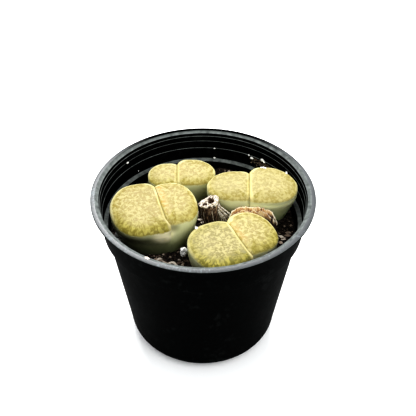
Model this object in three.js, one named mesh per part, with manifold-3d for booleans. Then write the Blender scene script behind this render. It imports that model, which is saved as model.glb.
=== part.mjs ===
// A potted lithops: four two-lobed heads in a small black nursery pot.
// Millimetres, +Z up. The origin is the middle of the pot's foot, on the surface it stands on.
// The front of the pot is towards -Y.

import * as THREE from 'three';
import { mergeVertices } from 'three/addons/utils/BufferGeometryUtils.js';
import Module from 'manifold-3d';

const wasm = await Module();
wasm.setup();

// Driving dimensions of the pot.
const POT_HEIGHT = 73;
const LIP_RADIUS = 45;
const LIP_WIDTH = 2;
const LIP_THICKNESS = 1;
const LIP_ROUNDING = 0.2;
const COLLAR_DEPTH = 15.5;
const COLLAR_TOP_RADIUS = 42.7;
const COLLAR_FOOT_RADIUS = 41;
const COLLAR_STEP_DEPTHS = [0.7, 2.15, 4.5, 7.95];
const COLLAR_STEP_RADII = [42.1, 41.7, 41.35, 41.05, 40.7];
const COLLAR_STEP_DRAFT = 0.1;
const COLLAR_STEP_HEIGHT = 0.15;
const LEDGE_DEPTH = 13.5;
const LEDGE_DROP = 0.4;
const BODY_TOP_RADIUS = 39.4;
const BODY_FOOT_RADIUS = 30.8;
const WALL = 0.9;
const FLOOR = 1;
const FOOT_CORNER_RADIUS = 8;
const FOOT_CORNER_STEPS = 5;
const RECESS_RADIUS = 18.5;
const RECESS_HEIGHT = 2;
const DRAIN_HOLE_COUNT = 6;
const DRAIN_HOLE_RADIUS = 3;
const DRAIN_HOLE_CIRCLE = 12.5;
const DRAIN_HOLE_SEGMENTS = 16;
const POT_SEGMENTS = 56;

// Clearance kept between pieces that touch, and the play of a root in its hole.
const GAP = 0.3;
const CUT_GAP = 0.35;
const HOLE_GAP = 0.8;

// Driving dimensions of the heads. A lobe's width is measured from the fissure to its outer
// edge, its length along the fissure, and its shift is how far its middle lies behind the head's
// own middle. The crest is the height of its crown above the surface that the pot stands on.
const HEADS = [
  {
    name: 'lithops_head_left',
    x: -16.9,
    y: -4.3,
    turn: 15.5,
    taper: 1,
    lobes: [
      { side: -1, width: 20.2, length: 32, shift: 0.8, crest: 71.4 },
      { side: 1, width: 14.8, length: 25.4, shift: 1.3, crest: 71.1 },
    ],
  },
  {
    name: 'lithops_head_back',
    x: -11.2,
    y: 20.8,
    turn: 2,
    taper: 1,
    lobes: [
      { side: -1, width: 12.4, length: 15.6, shift: 0.6, crest: 66.4 },
      { side: 1, width: 16.4, length: 17.6, shift: 1.8, crest: 66.9 },
    ],
  },
  {
    name: 'lithops_head_right',
    x: 18.9,
    y: 9.1,
    turn: -1.5,
    taper: 1.15,
    lobes: [
      { side: -1, width: 17.4, length: 18.6, shift: 0, crest: 71.1 },
      { side: 1, width: 19.9, length: 23, shift: 0.5, crest: 71.5 },
    ],
  },
  {
    name: 'lithops_head_front',
    x: 13.3,
    y: -20.3,
    turn: 25.5,
    taper: 1,
    lobes: [
      { side: -1, width: 20.1, length: 26.6, shift: -0.5, crest: 68.6 },
      { side: 1, width: 15.8, length: 24, shift: 1, crest: 68.6 },
    ],
  },
];

// Rows down a lobe from its crown to the tip of its root: the drop below the crest in
// millimetres, the share of the full outline, how far the lobe has melted into the head's
// one round body, and how far its inner face stands off the fissure.
const LOBE_ROWS = [
  { drop: 0.1, share: 0.4, melt: 0, cleft: 0 },
  { drop: 0.5, share: 0.7, melt: 0, cleft: 0.05 },
  { drop: 1.15, share: 0.87, melt: 0, cleft: 0.1 },
  { drop: 2.1, share: 0.955, melt: 0, cleft: 0.12 },
  { drop: 3.4, share: 0.993, melt: 0.08, cleft: 0.12 },
  { drop: 5.2, share: 1, melt: 0.45, cleft: -0.7 },
  { drop: 8, share: 0.975, melt: 1, cleft: -1 },
  { drop: 11, share: 0.93, melt: 1, cleft: -1 },
  { drop: 15, share: 0.86, melt: 1, cleft: -1 },
  { drop: 19, share: 0.77, melt: 1, cleft: -1 },
  { drop: 24, share: 0.55, melt: 1, cleft: -1 },
  { drop: 31, share: 0.2, melt: 1, cleft: -1 },
];
const CREST_TO_ROOT_TIP = 40;
const INNER_SHOULDER = 0.45;
const INNER_RIM_LIFT = 0.25;
const LOBE_POINTS = 28;
const LOBE_MIDDLE = 0.42;
const OUTER_ROUNDNESS = 2.4;
const BACK_CORNER_SQUARENESS = 3.7;
const FRONT_CORNER_SQUARENESS = 9;

// Driving dimensions of the soil.
const SOIL_LEVEL = 54.6;
const SOIL_RELIEF = 0.9;
const SOIL_RISE = 0.02;
const SOIL_PLAY = GAP + 0.1;
const SOIL_WALL_DIP = 1.5;
const SOIL_RINGS = [5, 10, 15, 20, 25, 30, 34.5];
const SOIL_SEGMENTS = 36;
const SOIL_SIDE_HEIGHTS = [48, 30, 15];
const BARK_CHIP_COUNT = 38;
const PERLITE_PLACES = [
  [-7.6, -14.9],
  [-34.4, -7.2],
  [-33.6, -9.6],
  [-3.5, -1.2],
];
const SCATTERED_PERLITE_COUNT = 8;
const GRAIN_WALL_CLEARANCE = 3;
const GRAIN_HEAD_CLEARANCE = 3;
const HEAD_SHARE_AT_SOIL = 0.85;
const SOIL_SEED = 11;

// The old leaf that dried around the front head's right lobe.
const SHEATH_FROM = 8;
const SHEATH_TO = 112;
const SHEATH_STEPS = 18;
const SHEATH_THICKNESS = 0.7;
const SHEATH_FOOT = 51;
const SHEATH_END_RISE = 4;
const SHEATH_END_ARCH = 0.04;
const SHEATH_ARCH_FULLNESS = 0.35;
const SHEATH_TOP = 67.7;
const SHEATH_SPREAD = 1.1;
const SHEATH_ROWS = [
  { rise: 0, lean: 0.5 },
  { rise: 0.45, lean: 0.9 },
  { rise: 0.8, lean: 1.5 },
  { rise: 1, lean: 2.3 },
];
const SHEATH_TEAR = 1;

// The dried flower stalk with its open capsule, between the left and right heads.
const STALK_FOOT = new THREE.Vector3(4.6, -0.8, 50);
const STALK_TOP = new THREE.Vector3(2.2, -2, 70);
const STALK_ROWS = [
  { rise: 0, radius: 2.4 },
  { rise: 0.28, radius: 2.7 },
  { rise: 0.5, radius: 2.3 },
  { rise: 0.72, radius: 2.9 },
  { rise: 0.86, radius: 3.7 },
  { rise: 1, radius: 4.1 },
];
const STALK_FLATNESS = 0.68;
const STALK_POINTS = 20;
const CAPSULE_RIBS = 5;
const CAPSULE_RIB_HEIGHT = 0.28;
const CAPSULE_CELL_DEPTH = 2.2;
const CAPSULE_RIM_WIDTH = 0.4;

// A small seeded generator, so that every build scatters the grains alike.
function makeRandom(seed) {
  let state = seed;
  return () => {
    state = (state * 16807) % 2147483647;
    return state / 2147483647;
  };
}

function smoothStep(from, to, value) {
  const t = THREE.MathUtils.clamp((value - from) / (to - from), 0, 1);
  return t * t * (3 - 2 * t);
}

// A closed mesh as a solid that can be joined and cut.
function toSolid(geometry) {
  const bare = geometry.clone();
  bare.deleteAttribute('normal');
  bare.deleteAttribute('uv');
  const merged = mergeVertices(bare, 1e-5);
  return new wasm.Manifold(
    new wasm.Mesh({
      numProp: 3,
      vertProperties: new Float32Array(merged.attributes.position.array),
      triVerts: new Uint32Array(merged.index.array),
    }),
  );
}

function toGeometry(solid) {
  const mesh = solid.getMesh();
  const geometry = new THREE.BufferGeometry();
  geometry.setAttribute('position', new THREE.BufferAttribute(mesh.vertProperties, 3));
  geometry.setIndex(new THREE.BufferAttribute(mesh.triVerts, 1));
  geometry.computeVertexNormals();
  return geometry;
}

// A closed skin over rings of equal length, listed from the top down, each running
// anticlockwise seen from above, with a single point at each end.
function loft(topPoint, rings, bottomPoint) {
  const count = rings[0].length;
  const positions = [];
  for (const point of [topPoint, ...rings.flat(), bottomPoint]) {
    positions.push(point.x, point.y, point.z);
  }
  const last = rings.length * count + 1;
  const at = (ring, index) => 1 + ring * count + (index % count);
  const triangles = [];
  for (let i = 0; i < count; i += 1) {
    triangles.push(0, at(0, i), at(0, i + 1));
    triangles.push(last, at(rings.length - 1, i + 1), at(rings.length - 1, i));
    for (let ring = 0; ring < rings.length - 1; ring += 1) {
      triangles.push(at(ring, i), at(ring + 1, i), at(ring + 1, i + 1));
      triangles.push(at(ring, i), at(ring + 1, i + 1), at(ring, i + 1));
    }
  }
  const geometry = new THREE.BufferGeometry();
  geometry.setAttribute('position', new THREE.Float32BufferAttribute(positions, 3));
  geometry.setIndex(triangles);
  return geometry;
}

function makeMesh(name, geometry, color, roughness) {
  const material = new THREE.MeshStandardMaterial({ color, roughness, metalness: 0 });
  geometry.computeVertexNormals();
  const mesh = new THREE.Mesh(geometry, material);
  mesh.name = name;
  return mesh;
}

// The radius of the pot's tapered body, outside, at a height.
function bodyRadius(height) {
  const share = height / (POT_HEIGHT - COLLAR_DEPTH);
  return THREE.MathUtils.lerp(BODY_FOOT_RADIUS, BODY_TOP_RADIUS, share);
}

// The rounded corner between foot and body, a given distance inside the outer skin.
function footCorner(inset) {
  const radius = FOOT_CORNER_RADIUS - inset;
  const middle = bodyRadius(FOOT_CORNER_RADIUS) - FOOT_CORNER_RADIUS;
  const points = [];
  for (let i = 0; i <= FOOT_CORNER_STEPS; i += 1) {
    const angle = (i / FOOT_CORNER_STEPS) * (Math.PI / 2);
    points.push(
      new THREE.Vector2(
        middle + radius * Math.sin(angle),
        FOOT_CORNER_RADIUS - radius * Math.cos(angle),
      ),
    );
  }
  return points;
}

// The collar's inside, a stack of shallow steps, from the mouth down.
function collarInside() {
  const points = [];
  COLLAR_STEP_DEPTHS.forEach((depth, i) => {
    const upper = COLLAR_STEP_RADII[i] - (i === 0 ? 0 : COLLAR_STEP_DRAFT);
    const lower = COLLAR_STEP_RADII[i + 1];
    points.push(new THREE.Vector2(upper, POT_HEIGHT - depth));
    points.push(new THREE.Vector2(lower, POT_HEIGHT - depth - COLLAR_STEP_HEIGHT));
  });
  return points;
}

function makePot() {
  const bodyTop = POT_HEIGHT - COLLAR_DEPTH;
  const ledgeTop = POT_HEIGHT - LEDGE_DEPTH;
  const ledgeOuter = COLLAR_STEP_RADII.at(-1) - COLLAR_STEP_DRAFT;
  const profile = [
    new THREE.Vector2(0, RECESS_HEIGHT),
    new THREE.Vector2(RECESS_RADIUS - RECESS_HEIGHT / 2, RECESS_HEIGHT),
    new THREE.Vector2(RECESS_RADIUS, 0),
    ...footCorner(0),
    new THREE.Vector2(BODY_TOP_RADIUS, bodyTop),
    new THREE.Vector2(COLLAR_FOOT_RADIUS, bodyTop + LEDGE_DROP),
    new THREE.Vector2(COLLAR_TOP_RADIUS, POT_HEIGHT - LIP_THICKNESS),
    new THREE.Vector2(LIP_RADIUS - LIP_ROUNDING, POT_HEIGHT - LIP_THICKNESS),
    new THREE.Vector2(LIP_RADIUS, POT_HEIGHT - LIP_THICKNESS / 2),
    new THREE.Vector2(LIP_RADIUS - LIP_ROUNDING, POT_HEIGHT),
    new THREE.Vector2(LIP_RADIUS - LIP_WIDTH, POT_HEIGHT),
    ...collarInside(),
    new THREE.Vector2(ledgeOuter, ledgeTop),
    new THREE.Vector2(bodyRadius(ledgeTop) - WALL, ledgeTop - LEDGE_DROP),
    ...footCorner(WALL).reverse(),
    new THREE.Vector2(RECESS_RADIUS + WALL, FLOOR),
    new THREE.Vector2(RECESS_RADIUS, RECESS_HEIGHT + FLOOR),
    new THREE.Vector2(0, RECESS_HEIGHT + FLOOR),
  ];
  const shell = new THREE.LatheGeometry(profile, POT_SEGMENTS);
  shell.rotateX(Math.PI / 2);
  let solid = toSolid(shell);
  const drain = new THREE.CylinderGeometry(
    DRAIN_HOLE_RADIUS,
    DRAIN_HOLE_RADIUS,
    4 * (RECESS_HEIGHT + FLOOR),
    DRAIN_HOLE_SEGMENTS,
  );
  drain.rotateX(Math.PI / 2);
  drain.translate(DRAIN_HOLE_CIRCLE, 0, RECESS_HEIGHT);
  for (let i = 0; i < DRAIN_HOLE_COUNT; i += 1) {
    solid = solid.subtract(toSolid(drain));
    drain.rotateZ((2 * Math.PI) / DRAIN_HOLE_COUNT);
  }
  return makeMesh('pot', toGeometry(solid), 0x101212, 0.4);
}

// One step of a rounded outline whose sides swell with the given roundness.
function swell(value, roundness) {
  return Math.sign(value) * Math.abs(value) ** (2 / roundness);
}

// A point on a lobe in its head's own frame: x across the fissure, y along it, z up.
// The lobe's outline is a D with its straight side along the fissure. Lower down it melts
// into half of an egg, so that the two lobes become one round body.
function lobePoint(head, lobe, row, angle, grow) {
  const c = Math.cos(angle);
  const s = Math.sin(angle);
  const inward = smoothStep(0, -0.8, c);
  const cornerSquareness = s > 0 ? BACK_CORNER_SQUARENESS : FRONT_CORNER_SQUARENESS;
  const roundness = c > 0 ? OUTER_ROUNDNESS : cornerSquareness;
  const middle = lobe.width * LOBE_MIDDLE;
  const reach = c > 0 ? lobe.width - middle : middle;
  const share = THREE.MathUtils.lerp(row.share, row.share ** INNER_SHOULDER, inward);
  const lobeX = middle + share * reach * swell(c, roundness) + row.cleft * inward;
  const lobeY = lobe.shift + (share * lobe.length * swell(s, roundness)) / 2;
  const narrowing = 1 - (1 - row.share) * head.taper;
  const eggX = c > 0 ? narrowing * lobe.width * c : -row.cleft * c;
  const eggY = narrowing * meanOfLobes(head, 'length') * (s / 2);
  const x = THREE.MathUtils.lerp(lobeX, eggX, row.melt) + grow * c;
  const y = THREE.MathUtils.lerp(lobeY, eggY, row.melt) + grow * s;
  const crest = THREE.MathUtils.lerp(lobe.crest, meanOfLobes(head, 'crest'), row.melt);
  const rim = row.melt > 0 ? 0 : INNER_RIM_LIFT * inward;
  return new THREE.Vector3(lobe.side * x, y, crest - row.drop * (1 - rim));
}

function meanOfLobes(head, key) {
  return (head.lobes[0][key] + head.lobes[1][key]) / 2;
}

function makeLobe(head, lobe, grow) {
  const rings = LOBE_ROWS.map((row) => {
    const ring = [];
    for (let i = 0; i < LOBE_POINTS; i += 1) {
      ring.push(lobePoint(head, lobe, row, (2 * Math.PI * i) / LOBE_POINTS, grow));
    }
    return lobe.side > 0 ? ring : ring.reverse();
  });
  const crown = new THREE.Vector3(
    lobe.side * lobe.width * LOBE_MIDDLE,
    lobe.shift,
    lobe.crest + grow,
  );
  const tip = new THREE.Vector3(0, 0, lobe.crest - CREST_TO_ROOT_TIP - grow);
  return toSolid(loft(crown, rings, tip));
}

function makeHeadSolid(head, grow) {
  return makeLobe(head, head.lobes[0], grow).add(makeLobe(head, head.lobes[1], grow));
}

function makeHead(head) {
  const mesh = makeMesh(head.name, toGeometry(makeHeadSolid(head, 0)), 0xd8c987, 0.45);
  mesh.position.set(head.x, head.y, 0);
  mesh.rotation.z = THREE.MathUtils.degToRad(head.turn);
  return mesh;
}

// A head with the touching clearance all round, in the pot's frame, to cut its neighbours.
function headCutter(head) {
  const geometry = toGeometry(makeHeadSolid(head, CUT_GAP));
  return toSolid(placeLikeHead(geometry, head));
}

// The plain hole that a head stands in: its round body below the fissure, with the clearance.
function holeCutter(head) {
  const crest = meanOfLobes(head, 'crest');
  const rows = LOBE_ROWS.filter((row) => row.melt === 1);
  const half = (lobe, row) => {
    const points = [];
    for (let i = 0; i <= LOBE_POINTS / 2; i += 1) {
      const angle = Math.PI * ((2 * i) / LOBE_POINTS - 0.5);
      points.push(lobePoint(head, lobe, row, angle, HOLE_GAP));
    }
    return lobe.side > 0 ? points : points.reverse();
  };
  const rings = rows.map((row) => [
    ...half(head.lobes[1], row).slice(0, -1),
    ...half(head.lobes[0], row).slice(0, -1),
  ]);
  const top = new THREE.Vector3(0, 0, crest - rows[0].drop + 1);
  const tip = new THREE.Vector3(0, 0, crest - CREST_TO_ROOT_TIP - HOLE_GAP);
  return toSolid(placeLikeHead(loft(top, rings, tip), head));
}

function placeLikeHead(geometry, head) {
  geometry.rotateZ(THREE.MathUtils.degToRad(head.turn));
  geometry.translate(head.x, head.y, 0);
  return geometry;
}

// The old leaf: a thin curved blade standing round the back of a lobe, flaring at its torn rim.
// Grown by a clearance it is the slot that it stands in.
function makeSheath(random, grow) {
  const head = HEADS.find((item) => item.name === 'lithops_head_front');
  const lobe = head.lobes[1];
  const outline = { drop: 0, share: 1, melt: 0, cleft: 0 };
  const columns = [];
  for (let i = 0; i <= SHEATH_STEPS; i += 1) {
    const along = i / SHEATH_STEPS;
    const sweep = THREE.MathUtils.lerp(SHEATH_FROM - 2 * grow, SHEATH_TO + 2 * grow, along);
    const angle = THREE.MathUtils.degToRad(sweep);
    const inner = THREE.MathUtils.clamp(along, SHEATH_END_ARCH, 1 - SHEATH_END_ARCH);
    const arch = Math.sin(Math.PI * inner) ** SHEATH_ARCH_FULLNESS;
    const rim = THREE.MathUtils.lerp(SHEATH_FOOT + SHEATH_END_RISE, SHEATH_TOP, arch);
    const top = rim - SHEATH_TEAR * random();
    const column = [];
    for (const face of [-grow, SHEATH_THICKNESS + grow]) {
      const side = SHEATH_ROWS.map((row) => {
        const spread = SHEATH_SPREAD * row.rise * (1 - along);
        const point = lobePoint(head, lobe, outline, angle, row.lean + spread + face);
        point.z = THREE.MathUtils.lerp(SHEATH_FOOT - grow, top, row.rise);
        return point;
      });
      column.push(...(face < SHEATH_THICKNESS ? side : side.reverse()));
    }
    columns.push(column);
  }
  const count = columns[0].length;
  const positions = columns.flat().flatMap((point) => [point.x, point.y, point.z]);
  const triangles = [];
  const at = (column, index) => column * count + (index % count);
  for (let column = 0; column < SHEATH_STEPS; column += 1) {
    for (let i = 0; i < count; i += 1) {
      triangles.push(at(column, i), at(column, i + 1), at(column + 1, i + 1));
      triangles.push(at(column, i), at(column + 1, i + 1), at(column + 1, i));
    }
  }
  for (let i = 0; i < SHEATH_ROWS.length - 1; i += 1) {
    const j = count - 1 - i;
    triangles.push(i, at(0, j), j - 1, i, j - 1, i + 1);
    triangles.push(at(SHEATH_STEPS, i), at(SHEATH_STEPS, j - 1), at(SHEATH_STEPS, j));
    triangles.push(at(SHEATH_STEPS, i), at(SHEATH_STEPS, i + 1), at(SHEATH_STEPS, j - 1));
  }
  const geometry = new THREE.BufferGeometry();
  geometry.setAttribute('position', new THREE.Float32BufferAttribute(positions, 3));
  geometry.setIndex(triangles);
  return toSolid(placeLikeHead(geometry, head));
}

// The stalk: a ribbed column that widens into an open capsule with a hollow top. Grown by a
// clearance it is the hole that it stands in.
function makeStalk(grow) {
  const rings = STALK_ROWS.map((row) => {
    const middle = STALK_FOOT.clone().lerp(STALK_TOP, row.rise);
    const ring = [];
    for (let i = 0; i < STALK_POINTS; i += 1) {
      const angle = (2 * Math.PI * i) / STALK_POINTS;
      const rib = 1 + (CAPSULE_RIB_HEIGHT * Math.cos(CAPSULE_RIBS * angle) * row.rise) / 2;
      const reach = row.radius * rib + grow;
      ring.push(
        new THREE.Vector3(
          middle.x + reach * Math.cos(angle),
          middle.y + (reach - row.radius * rib * (1 - STALK_FLATNESS)) * Math.sin(angle),
          middle.z - grow,
        ),
      );
    }
    return ring;
  });
  const rim = rings.at(-1);
  const hollow = rim.map((point) => point.clone().lerp(STALK_TOP, CAPSULE_RIM_WIDTH));
  const well = STALK_TOP.clone();
  well.z -= CAPSULE_CELL_DEPTH;
  const foot = STALK_FOOT.clone();
  foot.z -= 2 * grow;
  return toSolid(loft(well, [hollow, ...rings.reverse()], foot));
}

// The lie of the soil: low waves over the level, a little higher towards the back right.
function soilHeight(x, y) {
  const waves = Math.sin(0.31 * x + 1.3) * Math.cos(0.27 * y - 0.4) + Math.sin(0.13 * x + 0.17 * y);
  return SOIL_LEVEL + (SOIL_RELIEF * waves) / 2 + SOIL_RISE * (x + y);
}

function soilRing(radius, height) {
  const ring = [];
  for (let i = 0; i < SOIL_SEGMENTS; i += 1) {
    const angle = (2 * Math.PI * i) / SOIL_SEGMENTS;
    const x = radius * Math.cos(angle);
    const y = radius * Math.sin(angle);
    ring.push(new THREE.Vector3(x, y, height ?? soilHeight(x, y)));
  }
  return ring;
}

// The inside radius of the pot less the clearance, at a height above the rounded corner.
function soilRadius(height) {
  return bodyRadius(height) - WALL - SOIL_PLAY;
}

function makeSoil(random, cutters) {
  const floor = RECESS_HEIGHT + FLOOR + GAP;
  const topRadius = soilRadius(SOIL_LEVEL - SOIL_WALL_DIP);
  const cornerMiddle = bodyRadius(FOOT_CORNER_RADIUS) - FOOT_CORNER_RADIUS;
  const cornerReach = FOOT_CORNER_RADIUS - WALL - SOIL_PLAY;
  const cornerDrop = FOOT_CORNER_RADIUS - floor;
  const floorRadius = cornerMiddle + Math.sqrt(cornerReach ** 2 - cornerDrop ** 2);
  const rings = [
    ...SOIL_RINGS.map((radius) => soilRing(radius)),
    soilRing(topRadius),
    ...SOIL_SIDE_HEIGHTS.map((height) => soilRing(soilRadius(height), height)),
    soilRing(soilRadius(FOOT_CORNER_RADIUS), FOOT_CORNER_RADIUS),
    soilRing(floorRadius, floor),
  ];
  const crown = new THREE.Vector3(0, 0, soilHeight(0, 0));
  let solid = toSolid(loft(crown, rings, new THREE.Vector3(0, 0, floor)));
  for (const [x, y] of PERLITE_PLACES) {
    solid = solid.add(makePerlite(x, y, random));
  }
  const places = scatterPlaces(topRadius - GRAIN_WALL_CLEARANCE, random);
  places.forEach(([x, y], index) => {
    const make = index < BARK_CHIP_COUNT ? makeBarkChip : makePerlite;
    solid = solid.add(make(x, y, random));
  });
  for (const cutter of cutters) {
    solid = solid.subtract(cutter);
  }
  return solid;
}

// Random places for the grains, even over the open soil between the heads.
function scatterPlaces(reach, random) {
  const places = [];
  while (places.length < BARK_CHIP_COUNT + SCATTERED_PERLITE_COUNT) {
    const angle = 2 * Math.PI * random();
    const radius = reach * Math.sqrt(random());
    const x = radius * Math.cos(angle);
    const y = radius * Math.sin(angle);
    if (isClearOfHeads(x, y)) {
      places.push([x, y]);
    }
  }
  return places;
}

// True where a grain at this place stands free of every head.
function isClearOfHeads(x, y) {
  return HEADS.every((head) => {
    const turn = THREE.MathUtils.degToRad(head.turn);
    const dx = x - head.x;
    const dy = y - head.y;
    const across = dx * Math.cos(turn) + dy * Math.sin(turn);
    const along = -dx * Math.sin(turn) + dy * Math.cos(turn);
    const lobe = head.lobes[across > 0 ? 1 : 0];
    const reachX = HEAD_SHARE_AT_SOIL * lobe.width + GRAIN_HEAD_CLEARANCE;
    const reachY = (HEAD_SHARE_AT_SOIL * lobe.length) / 2 + GRAIN_HEAD_CLEARANCE;
    return (across / reachX) ** 2 + (along / reachY) ** 2 > 1;
  });
}

// A flat splinter of bark, 3 to 6 mm long, lying half sunk at its own slant.
function makeBarkChip(x, y, random) {
  const length = 3 + 3 * random();
  const chip = new THREE.BoxGeometry(length, 1.2 + random(), 0.8 + 0.5 * random());
  chip.rotateX(0.5 * (random() - 0.5));
  chip.rotateY(0.7 * (random() - 0.5));
  chip.rotateZ(Math.PI * random());
  chip.translate(x, y, soilHeight(x, y) + 0.1);
  return toSolid(chip);
}

// A grain of perlite, 2 to 3 mm across, lying a third sunk.
function makePerlite(x, y, random) {
  const grain = new THREE.IcosahedronGeometry(0.9 + 0.5 * random(), 0);
  grain.scale(1, 0.8 + 0.4 * random(), 0.8);
  grain.rotateZ(Math.PI * random());
  grain.translate(x, y, soilHeight(x, y) + 0.3);
  return toSolid(grain);
}

const random = makeRandom(SOIL_SEED);
const heads = HEADS.map(makeHead);
const rightHeadCutter = headCutter(HEADS[2]);
const sheath = makeSheath(random, 0).subtract(rightHeadCutter);
const stalk = makeStalk(0).subtract(rightHeadCutter);
const slots = [makeSheath(() => 0, HOLE_GAP), makeStalk(HOLE_GAP)];
const soil = makeSoil(random, [...HEADS.map(holeCutter), ...slots]);

const pottedLithops = new THREE.Group();
pottedLithops.add(makePot());
pottedLithops.add(makeMesh('soil', toGeometry(soil), 0x2a1c14, 0.95));
pottedLithops.add(...heads);
pottedLithops.add(makeMesh('dry_leaf_sheath', toGeometry(sheath), 0xc59a74, 0.8));
pottedLithops.add(makeMesh('dried_flower_stalk', toGeometry(stalk), 0xb9a58c, 0.85));

export default pottedLithops;
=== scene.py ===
import math
import random
from collections import namedtuple

import bpy
import numpy as np
from mathutils import Euler, Matrix, Vector, kdtree, noise


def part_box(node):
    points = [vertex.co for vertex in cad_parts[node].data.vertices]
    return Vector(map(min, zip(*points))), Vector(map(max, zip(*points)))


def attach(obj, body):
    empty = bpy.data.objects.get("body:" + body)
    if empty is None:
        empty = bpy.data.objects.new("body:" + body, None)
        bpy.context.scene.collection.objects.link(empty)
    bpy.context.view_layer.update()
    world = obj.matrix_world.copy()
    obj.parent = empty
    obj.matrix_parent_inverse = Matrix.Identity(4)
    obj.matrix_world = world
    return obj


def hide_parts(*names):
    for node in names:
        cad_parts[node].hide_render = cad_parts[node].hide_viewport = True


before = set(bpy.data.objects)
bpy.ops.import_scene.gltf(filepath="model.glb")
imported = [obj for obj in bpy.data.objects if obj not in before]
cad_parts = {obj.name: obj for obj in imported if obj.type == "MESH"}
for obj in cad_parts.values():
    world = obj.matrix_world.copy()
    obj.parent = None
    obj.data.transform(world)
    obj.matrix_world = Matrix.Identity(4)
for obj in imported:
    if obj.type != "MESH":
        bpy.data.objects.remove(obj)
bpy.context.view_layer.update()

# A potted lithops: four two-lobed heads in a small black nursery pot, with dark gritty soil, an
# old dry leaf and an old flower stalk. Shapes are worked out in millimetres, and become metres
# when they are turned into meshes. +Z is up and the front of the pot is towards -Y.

bl_info = {
    "name": "Potted lithops",
    "version": (1, 0, 0),
    "blender": (4, 5, 0),
    "location": "View3D > Sidebar > Lithops",
    "description": "Builds a potted lithops: the pot, the soil, four heads and their dry remains",
    "category": "Add Mesh",
}

MM = 0.001
BODY = "root"

# Driving dimensions of the pot, in millimetres. Its height and lip come from the frame.
POT_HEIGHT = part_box("pot")[1].z / MM
LIP_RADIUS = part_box("pot")[1].x / MM
LIP_WIDTH = 2.0
LIP_THICKNESS = 1.0
COLLAR_DEPTH = 15.5
COLLAR_TOP_RADIUS = 42.7
COLLAR_FOOT_RADIUS = 41.0
COLLAR_STEP_DEPTHS = (0.7, 2.15, 4.5, 7.95)
COLLAR_STEP_RADII = (42.1, 41.7, 41.35, 41.05, 40.7)
COLLAR_STEP_DRAFT = 0.1
COLLAR_STEP_HEIGHT = 0.15
LEDGE_DEPTH = 13.5
LEDGE_DROP = 0.4
BODY_TOP_RADIUS = 39.4
BODY_FOOT_RADIUS = 30.8
WALL = 0.9
FLOOR = 1.0
FOOT_CORNER_RADIUS = 8.0
FOOT_CORNER_STEPS = 12
BODY_LEVELS = 13
EDGE_STEPS = 4
RECESS_RADIUS = 18.5
RECESS_HEIGHT = 2.0
DRAIN_HOLE_COUNT = 6
DRAIN_HOLE_RADIUS = 3.0
DRAIN_HOLE_CIRCLE = 12.5
DRAIN_HOLE_SIDES = 48
# The thin wall strays from a cone in waves of this width, less and less towards the foot, between
# two heights, and towards the lip, between two depths below it.
WALL_WAVE_WIDTH = 22.0
WALL_WAVE_HEIGHTS = (5.0, 20.0)
WALL_WAVE_DEPTHS = (6.0, 1.5)
# The burnished part of the lip: its depth from the top and its width from the edge. The lip's
# back has painted shade, black and without gloss, which fades in between two shares of the radius.
BURNISHED_DEPTH = 0.35
BURNISHED_WIDTH = 1.55
LIP_BACK_PAINTED_SHADE = (0.3, 0.85)
# The plastic's patterns: the width of the clouds that its scuffs come in and of its moulded
# grain, where in the pattern the scuffs show and where they roughen the surface, and by how much,
# and how level a ledge is when dust begins and ends to settle.
CLOUD_WIDTH = 12.0
PLASTIC_GRAIN = 0.6
SCUFFS_SHOW = (0.29, 0.42)
SCUFFS_ROUGHEN = (0.15, 0.4)
SCUFF_ROUGHNESS = 0.12
DUSTY_SLOPES = (0.35, 0.8)

# The heads, as grown. A lobe's width is measured from the fissure to its outer edge, its length
# along the fissure, and its shift is how far its middle lies behind the head's own middle. At the
# back its round outline would pass the fissure by the overlap, and is cut off there. At the front
# its corner reaches across the fissure by the hook. The pale and the warmth are how cream and how
# orange the skin is along the fissure, the green how green the whole face is, the tone how light
# it is, the bold how clear its flecks are, the olive how dark and streaked its front is, the flank
# the painted light and shade on its side, lighter above 1 and darker below, and the edge how far
# below the crest the face ends. A head's round is the roundness of its outer back corners.
Lobe = namedtuple(
    "Lobe",
    "side width length shift crest overlap hook pale warmth green tone bold olive flank edge")
Head = namedtuple("Head", "name x y turn taper round lobes")
HEADS = (
    Head("left", -16.9, -4.3, 15.5, 1.0, 2.0, (
        Lobe(-1, 20.2, 32.0, 0.8, 71.4, 1.5, 1.5, 1.0, 0.0, 0.0, 0.62, 1.0, 0.82, 0.5, 3.1),
        Lobe(1, 14.8, 25.4, 1.3, 71.1, 2.5, 0.0, 0.2, 1.0, 0.0, 0.65, 0.95, 0.4, 0.9, 2.7),
    )),
    Head("back", -11.2, 20.8, 2.0, 1.0, 1.9, (
        Lobe(-1, 12.4, 15.6, 0.6, 66.4, 1.3, 0.0, 0.4, 0.1, 0.1, 0.66, 0.85, 0.35, 0.8, 1.7),
        Lobe(1, 16.4, 17.6, 1.8, 66.9, 0.1, 0.0, 0.8, 0.2, 0.1, 0.67, 0.85, 0.3, 0.8, 2.1),
    )),
    Head("right", 18.9, 9.1, -1.5, 1.15, 1.72, (
        Lobe(-1, 17.4, 18.6, 0.0, 71.1, 1.7, 0.0, 0.5, 0.0, 0.4, 0.68, 0.55, 0.05, 1.0, 2.6),
        Lobe(1, 19.9, 23.0, 0.5, 71.5, 0.4, 0.0, 0.9, 0.0, 0.4, 0.68, 0.55, 0.05, 1.9, 2.5),
    )),
    Head("front", 13.3, -20.3, 25.5, 1.0, 2.05, (
        Lobe(-1, 20.1, 26.6, -0.5, 68.6, 2.0, 0.6, 1.0, 0.0, 0.7, 0.64, 0.88, 1.0, 0.8, 2.0),
        Lobe(1, 15.8, 24.0, 1.0, 68.6, 0.6, 0.0, 0.2, 0.9, 0.3, 0.68, 0.9, 0.65, 0.9, 2.0),
    )),
)

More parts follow.
